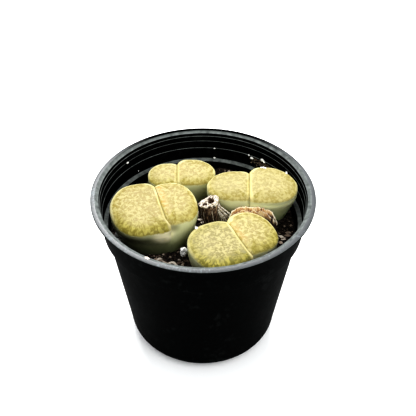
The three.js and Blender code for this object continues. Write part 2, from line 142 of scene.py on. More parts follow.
# Rows down a lobe from its crown to the tip of its root: the drop below the crest for a face that
# ends at FACE_END, the share of the full outline, how far the lobe has melted into the head's one
# round body, and how far its inner face stands off the fissure.
FACE_END = 3.0
LOBE_ROWS = np.array((
    (0.0, 0.0, 0.0, 0.0),
    (0.12, 0.4, 0.0, 0.0),
    (0.55, 0.68, 0.0, 0.0),
    (1.15, 0.84, 0.0, -0.04),
    (1.95, 0.935, 0.0, -0.3),
    (2.7, 0.985, 0.03, -0.45),
    (3.2, 1.0, 0.08, -0.55),
    (5.4, 1.0, 0.35, -0.7),
    (8.0, 0.975, 0.75, -1.0),
    (11.0, 0.93, 1.0, -1.0),
    (15.0, 0.86, 1.0, -1.0),
    (19.0, 0.77, 1.0, -1.0),
    (24.0, 0.55, 1.0, -1.0),
    (31.0, 0.2, 1.0, -1.0),
    (40.0, 0.0, 1.0, -1.0),
))
ROW_REACH = 12.0
RIM_POINTS = 900
RIM_START = 0.8
BACK_EDGE = 0.95
OUTLINE_ROW = np.array(((0.0, 1.0, 0.0, 0.0),))
INNER_SHOULDER = 0.22
INNER_RIM_LIFT = 0.25
INNER_RIM_FADE = (2.1, 3.4)
LOBE_MIDDLE = 0.42
OUTER_ROUNDNESS = 2.4
BACK_ROUNDNESS = 2.6
FRONT_CORNER_SQUARENESS = 8.0
HOOK_START = 0.6
# Where the fissure ends in front the side has a pale painted highlight, and the nook beside its
# corner a dark painted shade: for both, the middle and half width across the fissure, the middle
# and half height down the side, the strength, and the share of the mark that isn't faded.
FISSURE_END_MARKS = {
    "bloom": (-2.0, 6.5, 1.5, 6.0, 1.0, 0.3),
    "nook": (2.2, 4.0, 1.0, 2.8, 0.65, 0.1),
}
END_ROUNDING = 0.05
CREASE_WIDTH = 0.15
CREASE_DEPTH = 0.45
LOBE_COLUMNS = 240
# The skin's patterns: how many waves of each kind of fleck go in a fleck's spacing, the widths of
# its patches, mottling and pores, how deep the mottling reaches into the side's greening, between
# which depths below the face the side greens, and how soft the face's lower edge is.
BLOB_WAVES = 1.75
CONTOUR_WAVES = 0.65
BREAK_WAVES = 1.2
RAY_WAVES = 1.6
PATCH_WIDTH = 4.5
MOTTLE_WIDTH = 4.0
MOTTLE_DEPTH = 3.0
PORE_WIDTH = 0.35
GREENING = (1.0, 13.0)
FACE_EDGE_BLUR = 0.35
# Where the marks of the skin lie. The rays at the front reach in from the rim by distances frayed
# by waves, and stay off the fissure. Their way in counts as only this share of itself, which draws
# them out. The cream line lies along the rim, wider at the back, and is fainter on green skin; it
# is partly the skin's own colour and partly a painted highlight where light wraps over the rim.
RAY_REACH = (1.0, 8.0)
RAY_FRAY = 1.6
RAY_FRAY_WIDTH = 2.5
RAY_GAP = (0.3, 1.6)
RAY_SHARE = 0.42
LINE_WIDTHS = (0.6, 1.6)
LINE_FADE = 0.7
LINE_LOST_ON_GREEN = 0.7
# How far forward on the rim, from -1 at the back to 1 at the front, these marks begin and end.
EDGE_DROPS = (-0.6, 0.4)
LINE_WIDENS = (0.2, 1.0)
LINE_ENDS = (-0.1, 0.6)
OLIVE_BEGINS = (-0.2, 0.8)
# The share of the olive that the back of the face keeps: at least, and more where it is green.
OLIVE_BACK = (0.12, 0.5)
# How the margin fades, in shares of its width, and how much wider it is at the hooked corner.
MARGIN_FADE = (0.8, 1.5)
CORNER_MARGIN = 0.4
# How strong the warm skin is, and how far from the fissure and where along it it fades.
WARM_SHARE = 0.9
WARM_REACH = 4.0
WARM_ALONG = (-9.0, 1.0)
# Painted light: how much lighter the skin is made where it turns over and falls into shade, and
# between which tilts.
TURNED_OVER_PAINTED_LIGHT = 0.3
PAINTED_LIGHT_TILTS = (0.0, 0.25)
# How strong the painted shade along the fissure is, the distances and the depths between which
# that fades, and how much less deep the painted shade reaches on the hooked head.
CLEFT_PAINTED_SHADE = 0.5
CLEFT_WIDTHS = (0.05, 0.35)
CLEFT_DEPTHS = (-0.5, 7.0)
CLEFT_HOOKED = 6.0
# The depths at which the sides take their painted light and shade, and where across the fissure
# the two lobes' painted light and shade meet.
SIDE_PAINTED_LIGHT_BEGINS = (0.0, 3.0)
SIDE_PAINTED_LIGHTS_MEET = (-3.0, 3.0)
# The fine and coarse bumps of the face, as layers of noise, the depths below its edge where they
# end, and how far they stay off the fissure.
FACE_BUMPS = ((1.0, 1.6, 0.0, 1), (1.5, 5.0, 0.0, 1))
BUMPS_END = (-1.0, 1.5)
BUMP_GAP = (0.5, 1.5)
# What the heads keep at each point for their skin.
SKIN_MARKS = (
    "below", "front", "edge", "margin", "warm", "green", "tone", "bold", "flank", "bloom", "nook",
    "cleft")
FACE_ROW_STEP = 0.2
FACE_ROWS_END = 17.0
SIDE_ROW_STEP = 0.6
SIDE_ROWS_END = 32.0
ROOT_ROW_STEP = 2.0

# The lie of the soil.
SOIL_LEVEL = 54.6
SOIL_RELIEF = 0.9
SOIL_RISE = 0.02
SOIL_RINGS = 116
SOIL_COLUMNS = 420
SOIL_SIDE_HEIGHTS = (50.0, 40.0, 30.0, 20.0, 12.0, 8.0)
SOIL_WALL_PLAY = 0.1
HOLE_PLAY = 0.15
ROUND_BODY_DROP = 8.0
# Its coarse and fine lumps, as layers of noise.
SOIL_LUMPS = ((0.8, 3.2, 5.0, 1), (0.5, 1.1, 9.0, 1))
# What is strewn keeps off the stalk, and off the heads, whose crests are about this high.
STALK_REACH = 2.4
HEAD_CREST = 71.0
# How far from the pot's middle each kind is strewn, and how far it keeps off the heads.
CRUMB_STREWN = (37.2, 0.3)
CHIP_STREWN = (36.0, 1.0)
GRAIN_STREWN = (34.0, 1.5)
# A crumb's least half width, what the largest have more, and how far above the soil it lies.
CRUMB_HALF_WIDTH = 0.2
CRUMB_SPREAD = 0.55
CRUMB_LIFTS = (-0.1, 0.5)
# A strewn bark chip's length, width and thickness, how far above the soil it lies, how far it
# tilts, in radians, and how pale the palest is.
CHIP_LENGTHS = (2.0, 5.5)
CHIP_WIDTHS = (0.5, 1.5)
CHIP_THICKNESSES = (0.3, 0.7)
CHIP_LIFTS = (0.2, 0.9)
CHIP_TILTS = (-0.6, 0.6)
CHIP_PALEST = 0.75
GRAIN_HALF_WIDTHS = (0.6, 1.1)
# Any turn about the upright, in radians.
ANY_TURN = (0.0, 6.3)
# A splinter of bark: the points round it, how ragged its ends and its long sides are, its rings
# as a share of its outline and of half its thickness, and how far it may bend.
SPLINTER_SIDES = 16
SPLINTER_ENDS = (0.72, 1.05)
SPLINTER_FLANKS = (0.7, 1.05)
SPLINTER_RINGS = ((0.55, 1.0), (0.95, 0.6), (1.0, 0.0), (0.9, -0.7), (0.5, -1.0))
SPLINTER_BENDS = (-0.25, 0.25)

# The old leaf that dried around the front head's right lobe, in that head's own frame: the torn
# rim from its right end round the back to its left end, and where its foot stands round the lobe.
SHEATH_RIM = np.array((
    (0.0, 21.9, 6.9, 61.0),
    (0.06, 20.7, 7.8, 64.5),
    (0.16, 19.4, 9.4, 66.5),
    (0.28, 17.3, 11.0, 67.3),
    (0.42, 14.4, 12.5, 67.7),
    (0.56, 11.2, 14.2, 67.7),
    (0.68, 8.7, 15.5, 67.3),
    (0.78, 6.6, 15.8, 66.5),
    (0.88, 5.2, 15.7, 65.4),
    (1.0, 4.0, 15.2, 63.0),
))
SHEATH_ANGLES = (8.0, 112.0)
SHEATH_FOOT = 51.0
SHEATH_FOOT_GAP = 0.6
SHEATH_LENGTH = 24.0
SHEATH_COLUMNS = 320
SHEATH_LEVELS = 44
# It leans out more and more with its rise. Its tears and its folds are layers of noise, and the
# folds are drawn out down the leaf, which counts as this tall. Its rim is thinner than its foot.
SHEATH_LEAN = 1.3
SHEATH_TEARS = ((1.0, 1.6, 1.0, 1), (0.5, 0.5, 2.0, 1))
SHEATH_FOLDS = ((1.0, 2.2, 0.0, (1, 0.35, 1)), (0.45, 0.8, 5.0, (1, 0.25, 1)))
SHEATH_HEIGHT = 12
SHEATH_RIM_THICKNESS = 0.7
# It is bleached at its two ends, between these shares of its length, and along its rim: how much,
# and between which shares of its rise. How much higher the painted shade low on the leaf reaches at
# its right end, and the share of its length where that stops.
SHEATH_BLEACHED_ENDS = ((0.0, 0.14), (0.74, 0.9))
SHEATH_END_BLEACH = (0.5, 0.85, 0.95)
SHEATH_RIM_BLEACH = (0.55, 0.95, 1.0)
SHEATH_SHADE_REACH = (0.13, 0.35)
# Its two skins: piece, how far inside the rim and below it the skin ends, how far that end is
# torn, how deep it is crumpled, and its thickness.
SHEATH_SKINS = (
    ("dry_leaf", 0.0, 0.0, 0.75, 0.6, 0.35),
    ("dry_leaf_inner_skin", 1.15, 0.9, 1.0, 0.75, 0.25),
)

# The dried flower stalk: rows of its rise and radius, and its broken crown, as the radius at
# angles in degrees, with two pits at places from its middle, each with its half widths.
STALK_FOOT = np.array((4.6, -0.8, 50.0))
STALK_TOP = np.array((2.2, -2.0, 70.0))
STALK_ROWS = np.array(((0.0, 3.0), (0.4, 3.0), (0.7, 3.1), (0.88, 3.5), (1.0, 4.0)))
STALK_DEPTH = 0.85
STALK_COLUMNS = 200
STALK_LEVELS = 90
CROWN_LEVELS = 36
# Shares of the crown's radius at its outermost and innermost rings.
CROWN_SHARES = (0.97, 0.04)
CROWN_RADII = np.array((
    (14, 3.8), (24, 4.4), (49, 4.5), (77, 4.2), (104, 2.9), (140, 2.8), (171, 3.3), (188, 4.2),
    (219, 4.6), (254, 4.1), (285, 3.3), (316, 3.7),
))
CROWN_START = 0.9
CROWN_TILT = 0.2
# The stalk's fibres, as layers of noise drawn out up a round column of this radius and height.
STALK_FIBRES = ((0.35, 0.6, 2.0, (1, 1, 0.25)), (0.4, 1.8, 4.0, (1, 1, 0.4)))
FIBRE_RADIUS = 4
FIBRE_HEIGHT = 9
# How much of the fibres is lost where the column widens into the crown.
CROWN_FIBRES_LOST = 0.6
# The waves of the crown's outline, the ragged lower edge of its bleaching, and the mottling of the
# bleached crown, as layers of noise, how white it is, and between which depths a pit darkens.
CROWN_WAVES = ((0.3, 0.7, 2.0, 3),)
BLEACH_RAGGED = ((0.9, 0.9, 6.0, (1, 1, 0)),)
CROWN_MOTTLING = ((0.8, 0.8, 3.0, 1),)
CROWN_WHITE = 0.75
PIT_DARKENS = (0.1, 0.8)
# The crown's sponge, as layers of noise, and its shape: how far its middle is hollow and its edge
# worn down, each between two shares of its radius, and how ragged and steep its pits' edges are.
CROWN_SPONGE = ((0.5, 1.1, 7.0, 1), (0.35, 0.45, 8.0, 1))
CROWN_HOLLOW = (0.35, 0.5, 0.95)
CROWN_WEAR = (0.25, 0.8, 1.0)
PIT_RAGGED = (0.5, 0.7, 9.0)
PIT_EDGE = (0.35, 1.15)
CROWN_PITS = ((0.9, 0.5, 1.35, 2.0, 2.2), (-1.6, -1.2, 1.0, 1.3, 1.6))
BLEACHED_DEPTH = 1.5
# Loose straws of the stalk: those that lean from it towards the right, with the ranges of their
# tops and feet, half widths and bleaching, and those that stand round it, with the ranges of
# their rise, their tops' and feet's distance from its middle, how far the foot is raised, and the
# share of the stalk's rise that the foot starts at.
LEANING_STRAWS = 26
LEANING_TOP = ((4.4, 5.8), (-2.6, -0.6), (65.5, 69.0))
LEANING_FOOT = ((9.0, 13.0), (-4.2, -1.8), (56.0, 62.0))
LEANING_WIDTHS = (0.18, 0.4)
LEANING_BLEACH = (0.5, 1.2)
STANDING_STRAWS = 34
STANDING_RISE = (0.65, 0.97)
STANDING_TOP = (3.1, 3.8)
STANDING_FOOT = (3.2, 4.6)
STANDING_FOOT_RISE = 0.22
STANDING_FOOT_LIFT = (0.0, 6.0)
STANDING_WIDTHS = (0.08, 0.2)
STANDING_BLEACH = (0.0, 0.6)
STRAW_BOW = (-0.5, 0.5)
STRAW_RINGS = 14
STRAW_SIDES = 6

# Perlite grains that show: place, half width and height of the middle over the soil.
PERLITE_GRAINS = (
    (-7.6, -20.0, 1.1, 3.6),
    (-7.6, -20.4, 1.3, 5.2),
    (-7.4, -20.5, 1.2, 6.4),
    (-34.0, -9.6, 1.4, 4.8),
    (-34.1, -11.2, 1.3, 2.8),
    (-33.8, -12.0, 1.0, 1.0),
    (-3.5, -1.2, 0.7, 0.8),
)
# Perlite crumbs that lie on the heads: the head, place and half width.
HEAD_CRUMBS = (
    ("right", 24.2, 18.8, 0.45),
    ("right", 25.1, 18.8, 0.55),
    ("right", 26.0, 18.7, 0.4),
    ("right", 34.6, 15.6, 0.5),
    ("front", -2.6, -15.4, 0.6),
)
# Bark chips that show: place, length, width, turn and tilt in degrees, arch, and how pale.
BARK_CHIPS = (
    (-13.9, -22.9, 4.4, 1.1, 55, 10, 0.22, 1.3),
    (-10.8, -22.7, 4.8, 1.0, -40, 10, 0.25, 1.3),
    (-12.3, -22.0, 3.6, 1.2, 10, 0, 0.15, 0.9),
    (-16.3, -22.6, 1.7, 1.2, 30, 30, 0.0, 1.2),
    (-17.8, -20.8, 3.2, 1.6, -20, 10, 0.1, 0.5),
    (-9.3, -20.8, 2.8, 1.1, 80, 65, 0.0, 1.0),
    (-7.8, -22.9, 4.4, 1.1, 85, 25, 0.0, 0.55),
    (-8.9, -11.1, 1.8, 0.8, 60, 30, 0.0, 0.4),
    (-7.3, -9.9, 1.6, 0.7, 50, 30, 0.0, 0.4),
    (31.6, -8.4, 4.8, 1.8, 105, 30, 0.0, 0.85),
    (32.6, -9.9, 2.8, 1.6, 20, 10, 0.0, 0.65),
    (34.8, -5.4, 3.2, 2.0, 30, 20, 0.0, 0.5),
    (34.6, -7.3, 3.4, 1.6, 10, 10, 0.1, 0.45),
    (31.2, -12.1, 3.0, 1.8, 70, 20, 0.0, 0.55),
    (29.6, -12.3, 1.4, 0.9, 40, 10, 0.0, 0.45),
    (26.2, -14.9, 2.8, 1.1, 20, 0, 0.0, 0.45),
    (-1.3, 2.4, 2.6, 1.2, 10, 10, 0.0, 0.8),
    (0.2, 0.6, 3.0, 1.3, 20, 10, 0.0, 0.95),
)
PLACED_CHIP_LIFT = 1.1
PLACED_CHIP_THICKNESS = 0.55
# Bits stuck to the inside of the wall: angle in degrees, depth below the lip and half width.
WALL_SPECKS = (
    (142.2, 4.74, 0.6),
    (134.2, 12.3, 0.3),
    (83.1, 8.06, 0.45),
    (83.0, 13.3, 0.6),
    (60.6, 7.96, 0.5),
    (58.4, 8.95, 0.8),
    (51.0, 7.94, 0.95),
    (49.4, 8.4, 0.55),
    (30.2, 5.98, 0.7),
)
# The curled flake of bark caught on the lip: length, width and thickness, arch, turn and place.
FLAKE_SIZE = (3.0, 1.1, 0.3)
FLAKE_ARCH = 0.25
FLAKE_TURN = (0.2, 0.0, math.radians(-28.0))
FLAKE_PLACE = np.array((-20.4, -37.9, 73.1))
FLAKE_TINT = 0.75
# The smear of soil on the wall: its bits, the angles in degrees and the depths below the lip that
# it spreads over, where it is densest, and the half widths and tints of its bits.
WALL_SMEAR_BITS = 260
WALL_SMEAR_ANGLES = (38.0, 60.0)
WALL_SMEAR_DEPTHS = (8.2, 13.6)
WALL_SMEAR_DENSEST = (52.0, 9.5)
WALL_SMEAR_HALF_WIDTHS = (0.15, 0.5)
WALL_SMEAR_TINTS = (0.1, 0.6)

# The camera, as the photograph was taken: its distance in metres from the middle of the pot's
# mouth, its angles in degrees, and its lens and sensor in millimetres.
CAMERA_DISTANCE = 0.31975
CAMERA_HEIGHT_ANGLE = 39.49
CAMERA_PITCH = 40.628
CAMERA_YAW = 0.455
CAMERA_ROLL = 0.62
CAMERA_LENS = 69.23
SENSOR_WIDTH = 36.0
CAMERA_CLIPS = (0.01, 20.0)
FLOOR_REACH = 4.0
# The soft lights: size in metres, angle round the pot anticlockwise from +X and angle above the
# floor.
LIGHT_DISTANCE = 1.0
LIGHTS = {
    "softbox": ((0.62, 0.46), 97.0, 49.0),
    "side_light": ((0.6, 0.6), -48.0, 50.0),
}


def linear(hex_colour):
    """An sRGB hex colour as the linear RGBA that a shader takes."""
    channels = [int(hex_colour[i:i + 2], 16) / 255 for i in (1, 3, 5)]
    return [c / 12.92 if c <= 0.04045 else ((c + 0.055) / 1.055) ** 2.4 for c in channels] + [1.0]


def smooth_step(start, end, value):
    t = np.clip((value - start) / (end - start), 0.0, 1.0)
    return t * t * (3 - 2 * t)


def between(start, end, share):
    return start + (end - start) * share


def smooth_curve(knots, values, at):
    """Values between the knots, on a smooth curve that doesn't overshoot them."""
    knots = np.asarray(knots, float)
    values = np.asarray(values, float)
    slopes = np.diff(values, axis=0) / np.diff(knots)[:, None]
    tangents = np.zeros_like(values)
    before, after = slopes[:-1], slopes[1:]
    steady = before * after > 0
    total = np.where(steady, before + after, 1.0)
    tangents[1:-1] = np.where(steady, 2 * before * after / total, 0.0)
    tangents[0], tangents[-1] = slopes[0], slopes[-1]
    i = np.clip(np.searchsorted(knots, at, side="right") - 1, 0, len(knots) - 2)
    step = (knots[i + 1] - knots[i])[:, None]
    u = (at - knots[i])[:, None] / step
    return (
        (1 + 2 * u) * (1 - u) ** 2 * values[i]
        + u * (1 - u) ** 2 * step * tangents[i]
        + u * u * (3 - 2 * u) * values[i + 1]
        + u * u * (u - 1) * step * tangents[i + 1]
    )


def rounded(points, radius):
    """The same line with each of its inner corners rounded."""
    result = [points[0]]
    for before, corner, after in zip(points, points[1:], points[2:]):
        before, corner, after = Vector(before), Vector(corner), Vector(after)
        back, onward = before - corner, after - corner
        start = corner + back.normalized() * min(radius, 0.3 * back.length)
        end = corner + onward.normalized() * min(radius, 0.3 * onward.length)
        for i in range(EDGE_STEPS + 1):
            t = i / EDGE_STEPS
            result.append(tuple(start.lerp(corner, t).lerp(corner.lerp(end, t), t)))
    return result + [points[-1]]


def bare_object(name, vertices, faces):
    """An object in the scene from points in millimetres, with no material yet."""
    mesh = bpy.data.meshes.new(name)
    mesh.from_pydata(np.asarray(vertices, float) * MM, [], faces)
    made = bpy.data.objects.new(name, mesh)
    bpy.context.scene.collection.objects.link(made)
    return made


def make_piece(name, vertices, faces, material, slot, stands_for=(), smooth=True):
    """A piece of the object: a mesh from points in millimetres that rides on the one body."""
    piece = bare_object(name, vertices, faces)
    mesh = piece.data
    mesh.validate()
    mesh.shade_smooth() if smooth else mesh.shade_flat()
    mesh.materials.append(material)
    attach(piece, BODY)
    if stands_for:
        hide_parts(*stands_for)
    return piece


def paint(piece, name, values):
    """Keeps a number or a vector for each vertex, for the material to read."""
    values = np.asarray(values, np.float32)
    kind, key = ("FLOAT", "value") if values.ndim == 1 else ("FLOAT_VECTOR", "vector")
    layer = piece.data.attributes.new(name, kind, "POINT")
    layer.data.foreach_set(key, values.ravel())


def points_of(piece):
    """The vertices of a piece in millimetres."""
    points = np.zeros(len(piece.data.vertices) * 3)
    piece.data.vertices.foreach_get("co", points)
    return points.reshape(-1, 3) / MM


def move_points(piece, points):
    piece.data.vertices.foreach_set("co", (points * MM).ravel())
    piece.data.update()


def normals_of(piece):
    normals = np.zeros(len(piece.data.vertices) * 3)
    piece.data.vertex_normals.foreach_get("vector", normals)
    return normals.reshape(-1, 3)


def noise_at(points, size, seed=0.0):
    """Smooth noise from -1 to 1 whose lumps are about size millimetres across."""
    shift = Vector((seed, 2 * seed, 3 * seed))
    return np.array([noise.noise(Vector(p) / size + shift) for p in points])


def layered_noise(points, layers, seed=0.0):
    """Noise in layers, each given by its height, its width, its own seed and what the points are
    multiplied by to draw it out."""
    return sum(
        height * noise_at(points * stretch, width, seed + own)
        for height, width, own, stretch in layers)


def loft_faces(rings, columns, flip=False):
    """Quads between closed rings of points, with a fan at each end over the first and last point."""
    last = rings * columns + 1
    i = np.arange(columns)
    j = (i + 1) % columns
    faces = []
    for ring in range(rings - 1):
        a, b = 1 + ring * columns, 1 + (ring + 1) * columns
        faces += np.stack((a + i, b + i, b + j, a + j), -1).tolist()
    end = 1 + (rings - 1) * columns
    faces += np.stack((np.zeros_like(i), 1 + i, 1 + j), -1).tolist()
    faces += np.stack((np.full_like(i, last), end + j, end + i), -1).tolist()
    return [face[::-1] for face in faces] if flip else faces


def level_ring(radius, angles, height):
    return np.stack(
        (radius * np.cos(angles), radius * np.sin(angles), np.full(len(angles), height)), -1)


def loft_points(top, rings, bottom):
    return np.concatenate(([top], np.asarray(rings).reshape(-1, 3), [bottom]))


def join_or_cut(piece, other, operation):
    """Joins other to the piece, or cuts it out of the piece, and removes it."""
    change = piece.modifiers.new(operation.lower(), "BOOLEAN")
    change.operation = operation
    change.object = other
    change.solver = "MANIFOLD"
    result = bpy.data.meshes.new_from_object(
        piece.evaluated_get(bpy.context.evaluated_depsgraph_get())
    )
    if len(result.vertices) < 3:
        raise RuntimeError(f"{operation} of {other.name} left nothing of {piece.name}")
    piece.modifiers.clear()
    result.name = piece.name
    piece.data = result
    piece.data.shade_smooth()
    bpy.data.objects.remove(other)


def first_output(node):
    return next(socket for socket in node.outputs if socket.enabled)


def add(tree, kind, inputs=(), stops=(), **settings):
    """A shader node with its settings. An input given as a socket, or as a node whose first output
    is meant, is linked. Any other is set."""
    made = tree.nodes.new(kind)
    for key, value in settings.items():
        setattr(made, key, value)
    for key, value in dict(inputs).items():
        if isinstance(value, bpy.types.Node):
            value = first_output(value)
        if isinstance(value, bpy.types.NodeSocket):
            tree.links.new(value, made.inputs[key])
        else:
            made.inputs[key].default_value = value
    for _ in stops[2:]:
        made.color_ramp.elements.new(1.0)
    for i, (place, colour) in enumerate(stops):
        made.color_ramp.elements[i].position = place
        made.color_ramp.elements[i].color = colour
    return made


def start_material(name, **finish):
    """A new material, with the plain numbers of its finish set on the shader's own sockets."""
    material = bpy.data.materials.new(name)
    material.use_nodes = True
    shader = material.node_tree.nodes["Principled BSDF"]
    for key, value in finish.items():
        shader.inputs[key.replace("_", " ")].default_value = value
    return material, material.node_tree, shader


def feed(tree, shader, nodes):
    """Links sockets of the shader to the first outputs of the nodes given for them."""
    for key, node in nodes.items():
        tree.links.new(first_output(node), shader.inputs[key])


def millimetres(tree):
    """The place on the object in millimetres, for patterns whose sizes are real ones."""
    place = add(tree, "ShaderNodeTexCoord").outputs["Object"]
    return add(
        tree, "ShaderNodeVectorMath", {0: place, "Scale": 1 / MM}, operation="SCALE"
    ).outputs["Vector"]


class PotSizes(bpy.types.PropertyGroup):
    lip_droop: bpy.props.FloatProperty(
        name="Lip droop", description="How far the lip's outer edge hangs below its inner edge",
        default=0.35 * MM, unit="LENGTH", subtype="DISTANCE")
    edge_rounding: bpy.props.FloatProperty(
        name="Edge rounding", description="Rounding of the moulded edges",
        default=0.3 * MM, unit="LENGTH", subtype="DISTANCE")
    waviness: bpy.props.FloatProperty(
        name="Wall waviness", description="How far the thin wall strays from a true cone",
        default=0.12 * MM, unit="LENGTH", subtype="DISTANCE")
    columns: bpy.props.IntProperty(
        name="Columns", description="Faces round the pot", default=288, min=48)


class HeadSizes(bpy.types.PropertyGroup):
    ragged: bpy.props.FloatProperty(
        name="Ragged edge", description="How far the face's lower edge wanders up and down",
        default=0.3 * MM, unit="LENGTH", subtype="DISTANCE")
    margin: bpy.props.FloatProperty(
        name="Fissure margin", description="Width of the plain pale skin along the fissure",
        default=0.9 * MM, unit="LENGTH", subtype="DISTANCE")
    fleck: bpy.props.FloatProperty(
        name="Fleck spacing", description="Typical distance between the flecks on the face",
        default=2.3 * MM, unit="LENGTH", subtype="DISTANCE")
    relief: bpy.props.FloatProperty(
        name="Relief", description="Height of the low bumps on the face",
        default=0.07 * MM, unit="LENGTH", subtype="DISTANCE")


class SoilSizes(bpy.types.PropertyGroup):
    crumbs: bpy.props.IntProperty(
        name="Crumbs", description="Number of loose crumbs on the soil", default=3000, min=0)
    chips: bpy.props.IntProperty(
        name="Bark chips", description="Number of bark chips on the soil", default=170, min=0)
    grains: bpy.props.IntProperty(
        name="Perlite grains", description="Number of scattered perlite grains",
        default=9, min=0)
    seed: bpy.props.IntProperty(
        name="Seed", description="Changes how the soil is strewn", default=11)


class LithopsColours(bpy.types.PropertyGroup):
    fleck: bpy.props.FloatVectorProperty(
        name="Flecks", description="Pale flecks of the face", size=4, subtype="COLOR",
        default=linear("#CBC086"), min=0, max=1)
    window: bpy.props.FloatVectorProperty(
        name="Windows", description="Tan windows between the flecks", size=4, subtype="COLOR",
        default=linear("#A29040"), min=0, max=1)
    rim_mark: bpy.props.FloatVectorProperty(
        name="Rim marks", description="Olive windows that run out to the face's edge", size=4,
        subtype="COLOR", default=linear("#8C8129"), min=0, max=1)
    fissure: bpy.props.FloatVectorProperty(
        name="Fissure", description="Warm skin beside the fissure", size=4, subtype="COLOR",
        default=linear("#C19B40"), min=0, max=1)
    side: bpy.props.FloatVectorProperty(
        name="Side", description="Grey-green side of the body", size=4, subtype="COLOR",
        default=linear("#C0C197"), min=0, max=1)
    pot: bpy.props.FloatVectorProperty(
        name="Pot", description="Black plastic of the pot", size=4, subtype="COLOR",
        default=linear("#020303"), min=0, max=1)
    lip: bpy.props.FloatVectorProperty(
        name="Lip", description="Burnished plastic of the lip", size=4, subtype="COLOR",
        default=linear("#1A2024"), min=0, max=1)


class StageSettings(bpy.types.PropertyGroup):
    softbox_power: bpy.props.FloatProperty(
        name="Softbox", description="Power of the large light behind and above",
        default=9.0, min=0, unit="POWER")
    side_power: bpy.props.FloatProperty(
        name="Side light", description="Power of the soft light from the front right",
        default=2.5, min=0, unit="POWER")
    fill_strength: bpy.props.FloatProperty(
        name="Fill", description="Strength of the even light from all round", default=1.0, min=0)
    floor_colour: bpy.props.FloatVectorProperty(
        name="Floor", description="Colour of the paper floor", size=4, subtype="COLOR",
        default=linear("#FDFDFC"), min=0, max=1)


# Pot

def body_radius(height):
    return between(BODY_FOOT_RADIUS, BODY_TOP_RADIUS, height / (POT_HEIGHT - COLLAR_DEPTH))


def wall_radius(depth):
    """The radius of the inside of the wall at a depth below the lip."""
    if depth > LEDGE_DEPTH:
        return body_radius(POT_HEIGHT - depth) - WALL
    steps_above = sum(depth > step for step in COLLAR_STEP_DEPTHS)
    return COLLAR_STEP_RADII[steps_above]


def foot_corner(inset):
    radius = FOOT_CORNER_RADIUS - inset
    middle = body_radius(FOOT_CORNER_RADIUS) - FOOT_CORNER_RADIUS
    angles = [
        math.pi / 2 * i / FOOT_CORNER_STEPS for i in range(FOOT_CORNER_STEPS + 1)
    ]
    return [
        (middle + radius * math.sin(a), FOOT_CORNER_RADIUS - radius * math.cos(a))
        for a in angles
    ]


def collar_inside():
    points = []
    for i, depth in enumerate(COLLAR_STEP_DEPTHS):
        upper = COLLAR_STEP_RADII[i] - (COLLAR_STEP_DRAFT if i else 0)
        points.append((upper, POT_HEIGHT - depth))
        points.append((COLLAR_STEP_RADII[i + 1], POT_HEIGHT - depth - COLLAR_STEP_HEIGHT))
    return points


def pot_profile(sizes):
    """Half of the pot's section, from the middle of its underside round to the middle inside."""
    body_top = POT_HEIGHT - COLLAR_DEPTH
    ledge_top = POT_HEIGHT - LEDGE_DEPTH
    droop = sizes.lip_droop / MM
    return rounded([
        (0.0, RECESS_HEIGHT),
        (RECESS_RADIUS - RECESS_HEIGHT / 2, RECESS_HEIGHT),
        (RECESS_RADIUS, 0.0),
        *foot_corner(0.0),
        *[(body_radius(h), h)
          for h in np.linspace(FOOT_CORNER_RADIUS, body_top, BODY_LEVELS)[1:]],
        (COLLAR_FOOT_RADIUS, body_top + LEDGE_DROP),
        (between(COLLAR_FOOT_RADIUS, COLLAR_TOP_RADIUS, 0.5), POT_HEIGHT - COLLAR_DEPTH / 2),
        (COLLAR_TOP_RADIUS, POT_HEIGHT - LIP_THICKNESS),
        (LIP_RADIUS, POT_HEIGHT - LIP_THICKNESS - droop / 2),
        (LIP_RADIUS, POT_HEIGHT - droop),
        (LIP_RADIUS - LIP_WIDTH, POT_HEIGHT),
        *collar_inside(),
        (COLLAR_STEP_RADII[-1] - COLLAR_STEP_DRAFT, ledge_top),
        (body_radius(ledge_top) - WALL, ledge_top - LEDGE_DROP),
        *reversed(foot_corner(WALL)),
        (RECESS_RADIUS + WALL, FLOOR),
        (RECESS_RADIUS, RECESS_HEIGHT + FLOOR),
        (0.0, RECESS_HEIGHT + FLOOR),
    ], sizes.edge_rounding / MM)


def turned(profile, columns):
    """Points and faces of a closed body turned from a profile whose ends lie on the axis."""
    angles = np.arange(columns) * 2 * math.pi / columns
    rings = [level_ring(radius, angles, height) for radius, height in profile[1:-1]]
    top, bottom = (0.0, 0.0, profile[0][1]), (0.0, 0.0, profile[-1][1])
    return loft_points(top, rings, bottom), loft_faces(len(rings), columns, flip=True)


